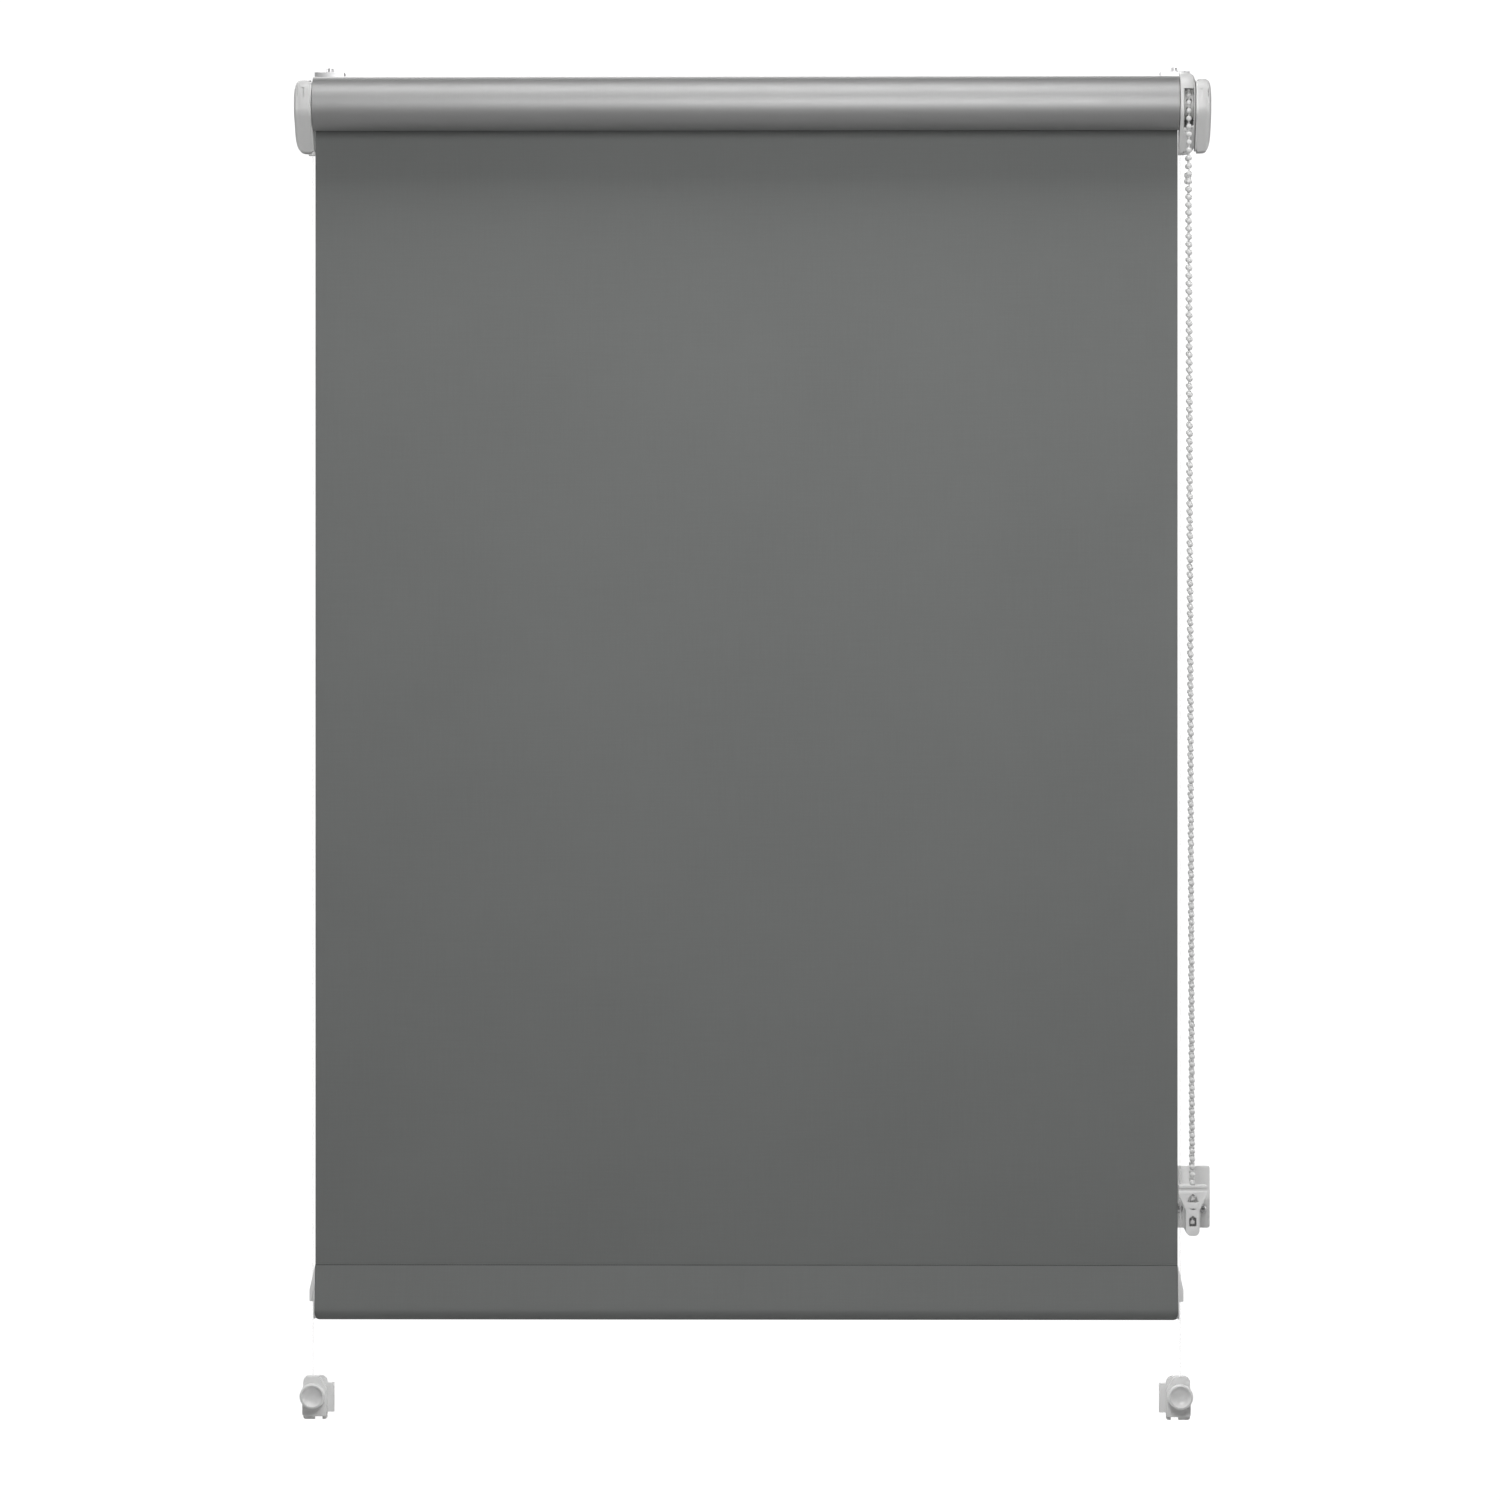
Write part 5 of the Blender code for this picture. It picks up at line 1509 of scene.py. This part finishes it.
class ChainHolder:
    """The screwed plate and the funnel that keep the chain taut, out of a child's reach."""

    def build(self) -> None:
        """Make the plate, the funnel and the two screws."""
        slot, finish = "white_plastic", FINISH.white_soft
        softened("holder_plate", "holder_base", slot, finish, 0.0004)
        softened("chain_holder", "holder_funnel", slot, finish, 0.0005, cutters=self.windows())
        screw = Screw(0.0032, 0.0022, 0.0018, turn=(math.pi / 2, 0.0, 0.0))
        for n in (0, 1):
            screw.build(f"holder_bolt_{n}", f"holder_screw_{n}")

    def windows(self) -> list[Mesh]:
        """The groove under the rim, the slot, the chain's arch and the low window."""
        x, near = CHAIN_END_X, HOLDER_FRONT - 0.002
        groove, wall = HOLDER_FRONT + 0.0008, HOLDER_FRONT + 0.0025
        arch = [(0.0046, -0.8612), (0.0034, -0.8575), (0.0, -0.8545)]
        low = [(0.0027, -0.8795), (0.0027, -0.8735), (0.0, -0.8712)]
        return [
            box_mesh("rim_groove", (x - 0.012, near, -0.8532), (x + 0.012, groove, -0.8504)),
            box_mesh("throat_slot", (x - 0.0022, near, -0.8670), (x + 0.0022, wall, -0.8660)),
            *(
                prism(name, [(x + u, z) for u, z in self.mirrored(*half)], Axis.Y, (near, wall))
                for name, half in (("mouth_window", arch), ("low_window", low))
            ),
        ]

    @staticmethod
    def mirrored(foot: tuple, shoulder: tuple, top: tuple) -> Outline:
        """A pointed window's outline from the three corners of its right half."""
        return [(-foot[0], foot[1]), foot, shoulder, top, (-shoulder[0], shoulder[1])]


@dataclass
class WireTensioner:
    """A guide wire with its crimp at the top and its tensioner at the bottom."""

    side: Side
    wire_radius: float = 0.0005
    knob_radius: float = 0.00955
    knob_bore: float = 0.0027
    grip_length: float = 0.0059

    # Knob profile: distance behind the front face, and radius as a share of the knob's.
    DISH = [(31, 0.0), (31, 0.22), (29, 0.40), (24, 0.56), (16, 0.69), (8, 0.77), (2, 0.82)]
    EDGE = [(0, 0.83), (0, 0.90), (2, 0.955), (7, 0.99), (14, 1.0)]
    # The same at the back: distance in front of the rear face.
    REAR = [(16, 0.985), (5, 0.955), (0, 0.90)]
    UNIT = 0.0001

    def build(self) -> None:
        """Make the wire, the crimp, the pad, the base, the body and the knob."""
        label = self.side.label
        low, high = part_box(f"guide_wire_{label}")
        x, r = self.side.value * WIRE_X, self.wire_radius
        profile = [
            (low.z, 0), (low.z, r * 0.8),
            *((z, r) for z in even(low.z + 0.0002, high.z - 0.0002, 24)),
            (high.z, r * 0.8), (high.z, 0),
        ]
        name = f"wire_{label}"
        mesh = lathe(name, profile, Axis.Z, Vector((x, WIRE_Y, 0)), 12)
        wire = link(mesh, name, [FINISH.nylon])
        place_piece(wire, "mounting", "clear_nylon", f"guide_wire_{label}")
        for node, name, slot, material, width in (
            ("wire_anchor", "crimp", "aluminium", FINISH.aluminium, 0.0001),
            ("tension_pad", "pad", "foam_pad", FINISH.foam, 0.0002),
            ("tension_base", "tensioner_base", "white_plastic", FINISH.white_soft, 0.0004),
            ("tension_housing", "tensioner_body", "white_plastic", FINISH.white_soft, 0.0008),
        ):
            softened(f"{node}_{label}", f"{name}_{label}", slot, material, width)
        self.build_knob(label, x)

    def build_knob(self, label: str, x: float) -> None:
        """Make the dished knob with its grip ridges, and its spindle.

        Args:
            label: The side's name.
            x: The knob's place in x.
        """
        low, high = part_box(f"tension_knob_{label}")
        front, back, r = -low.y, -high.y, self.knob_radius
        body, centre = f"knob_{label}", Vector((x, 0, KNOB_Z))
        floor = front - 0.0042
        profile = [
            *((front - depth * self.UNIT, r * share) for depth, share in self.DISH + self.EDGE),
            *((back + depth * self.UNIT, r * share) for depth, share in self.REAR),
            (back, self.knob_bore), (floor, self.knob_bore), (floor, 0.0),
        ]
        knob = link(lathe(body, profile, Axis.Y, centre, 56), body, [FINISH.white_soft], 42)
        place_piece(knob, body, "white_plastic", f"tension_knob_{label}")
        sizes = {
            "Count": 40, "Ring Radius": r - 0.0001, "Ridge Radius": 0.00028,
            "Length": self.grip_length,
        }
        seed = points_mesh(f"knob_seed_{label}", [(0, 0, 0)])
        ridges = RIDGES.grow(f"knob_grip_{label}", seed, FINISH.white_soft, sizes)
        middle = (front + back) / 2 - 0.0002
        ridges.data.transform(Matrix.Translation((x, -middle, KNOB_Z)) @ Axis.Y.matrix())
        place_piece(ridges, body, "white_plastic")
        spindle = f"tension_spindle_{label}", f"spindle_{label}"
        softened(*spindle, "steel", FINISH.zinc, 0.0002, body)


def dress_hidden_parts() -> None:
    """Give the CAD pieces whose shape is right already their materials."""
    finishes = {
        "core_axle": FINISH.grey, "drive_hub": FINISH.grey, "idle_plug": FINISH.grey,
        "wrap_spring": FINISH.spring, "pin_spring": FINISH.spring, "idle_pin": FINISH.zinc,
        "roller_tube": FINISH.aluminium, "fabric_tape": FINISH.tape, "weight_bar": FINISH.aluminium,
    }
    for name, material in finishes.items():
        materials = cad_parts[name].data.materials
        materials.clear()
        materials.append(material)
        LOG.info("%s: dressed", name)


# ---------------------------------------------------------------- studio


@dataclass
class Studio:
    """The pale room, its soft lights and the camera in front of the blind."""

    distance: float = 6.0
    height: float = -0.517
    camera_x: float = 0.080
    aim_x: float = 0.0029
    cloth_y: float = -0.0125
    frame_width: float = 1.148
    sensor: float = 36.0
    seen_level: float = 1.1
    floor_half: float = 30.0
    floor_drop: float = 0.42
    floor_grey: float = 0.45

    # name, place, aim, side in metres, power in watts
    LIGHTS = (
        ("key_light", (0.17, -1.5, 0.03), (0.0, 0.0, -0.30), 0.5, 12.4),
        ("top_light", (0.0, -1.1, 2.0), (0.0, 0.0, 0.0), 1.2, 31.0),
        ("back_light", (-0.8, 3.4, 1.6), (0.0, 0.0, -0.4), 2.4, 85.0),
        ("side_light_left", (-3.0, 0.35, 0.2), (0.0, 0.0, -0.4), 1.6, 34.0),
        ("side_light_right", (3.0, 0.35, 0.2), (0.0, 0.0, -0.4), 1.6, 34.0),
    )

    def build(self) -> None:
        """Make the world, the floor, the camera and the lights."""
        self.build_world()
        self.build_floor()
        self.build_camera()
        for name, place, aim, size, power in self.LIGHTS:
            data = bpy.data.lights.new(name, "AREA")
            data.shape, data.size, data.energy = "SQUARE", size, power
            self.stand(bpy.data.objects.new(name, data), place, aim)

    @staticmethod
    def stand(thing: Piece, place: Sequence[float], aim: Sequence[float]) -> None:
        """Put a light or a camera in the scene.

        Args:
            thing: The light or camera.
            place: Where it stands.
            aim: What it points at.
        """
        thing.location = place
        thing.rotation_euler = (Vector(aim) - Vector(place)).to_track_quat("-Z", "Y").to_euler()
        bpy.context.scene.collection.objects.link(thing)

    def finish_tree(
        self, tree: bpy.types.NodeTree, end: str, seen: str, fill: Callable[[Graph], Socket]
    ) -> None:
        """Make a tree that is evenly white where it is seen, and has another shader elsewhere.

        Args:
            tree: The world's or material's tree.
            end: The output node's type.
            seen: The type of the shader that camera and transmission rays see.
            fill: Adds the shader that other rays see.
        """
        tree.nodes.clear()
        graph = Graph(tree)
        ray = graph.node("ShaderNodeLightPath").outputs
        clear = graph.math("MAXIMUM", ray["Is Camera Ray"], ray["Is Transmission Ray"])
        white = graph.add(seen, {0: WHITE_LIGHT, 1: self.seen_level})
        mixed = graph.add("ShaderNodeMixShader", {0: clear, 1: fill(graph), 2: white})
        graph.node(end, {0: mixed})

    def build_world(self) -> None:
        """A world that is brighter above than below for the light it gives."""

        def sky(graph: Graph) -> Socket:
            """A grey that rises with height."""
            way = graph.add("ShaderNodeNewGeometry")
            height = graph.node("ShaderNodeSeparateXYZ", {0: way}).outputs[2]
            share = graph.math("MULTIPLY_ADD", height, 0.5, 0.5)
            level = graph.math("MULTIPLY_ADD", graph.math("POWER", share, 1.6), 0.12, 0.02)
            return graph.add("ShaderNodeBackground", {0: WHITE_LIGHT, 1: level})

        world = bpy.data.worlds.new("studio")
        bpy.context.scene.world = world
        world.use_nodes = True
        self.finish_tree(world.node_tree, "ShaderNodeOutputWorld", "ShaderNodeBackground", sky)

    def build_floor(self) -> None:
        """A pale floor that is as bright as the world where it is seen."""

        def matt(graph: Graph) -> Socket:
            """The floor's own grey."""
            return graph.add("ShaderNodeBsdfDiffuse", {0: (*[self.floor_grey] * 3, 1.0)})

        z, half = CAD_BOX[0].z - self.floor_drop, self.floor_half
        corners = [(-half, -half, z), (half, -half, z), (half, half, z), (-half, half, z)]
        mesh = bpy.data.meshes.new("floor")
        mesh.from_pydata(corners, [], [(0, 1, 2, 3)])
        floor = bpy.data.objects.new("floor", mesh)
        bpy.context.scene.collection.objects.link(floor)
        material = bpy.data.materials.new("pale_floor")
        material.use_nodes = True
        self.finish_tree(material.node_tree, "ShaderNodeOutputMaterial", "ShaderNodeEmission", matt)
        mesh.materials.append(material)

    def build_camera(self) -> None:
        """Place the camera straight in front, slightly to the right of the middle."""
        data = bpy.data.cameras.new("camera")
        camera = bpy.data.objects.new("camera", data)
        place = (self.camera_x, self.cloth_y - self.distance, self.height)
        self.stand(camera, place, (self.aim_x, self.cloth_y, self.height))
        data.sensor_width = self.sensor
        data.lens = self.sensor * self.distance / self.frame_width
        data.clip_start, data.clip_end = 0.1, 100.0
        bpy.context.scene.camera = camera
        bpy.context.scene.view_settings.view_transform = "Standard"


def main() -> None:
    """Build every sub-assembly in order."""
    logging.basicConfig(level=logging.INFO, format="%(message)s")
    Studio().build()
    ClothRoll().build()
    ClothDrop().build()
    Hem().build()
    EndBracket(Side.LEFT, 0.3320, 0.3448).build()
    EndBracket(Side.RIGHT, 0.3443, 0.3547).build()
    ChainDrive().build()
    BeadChain().build()
    ChainHolder().build()
    for side in Side:
        WireTensioner(side).build()
    dress_hidden_parts()
    bpy.context.view_layer.update()


if __name__ == "__main__":
    main()
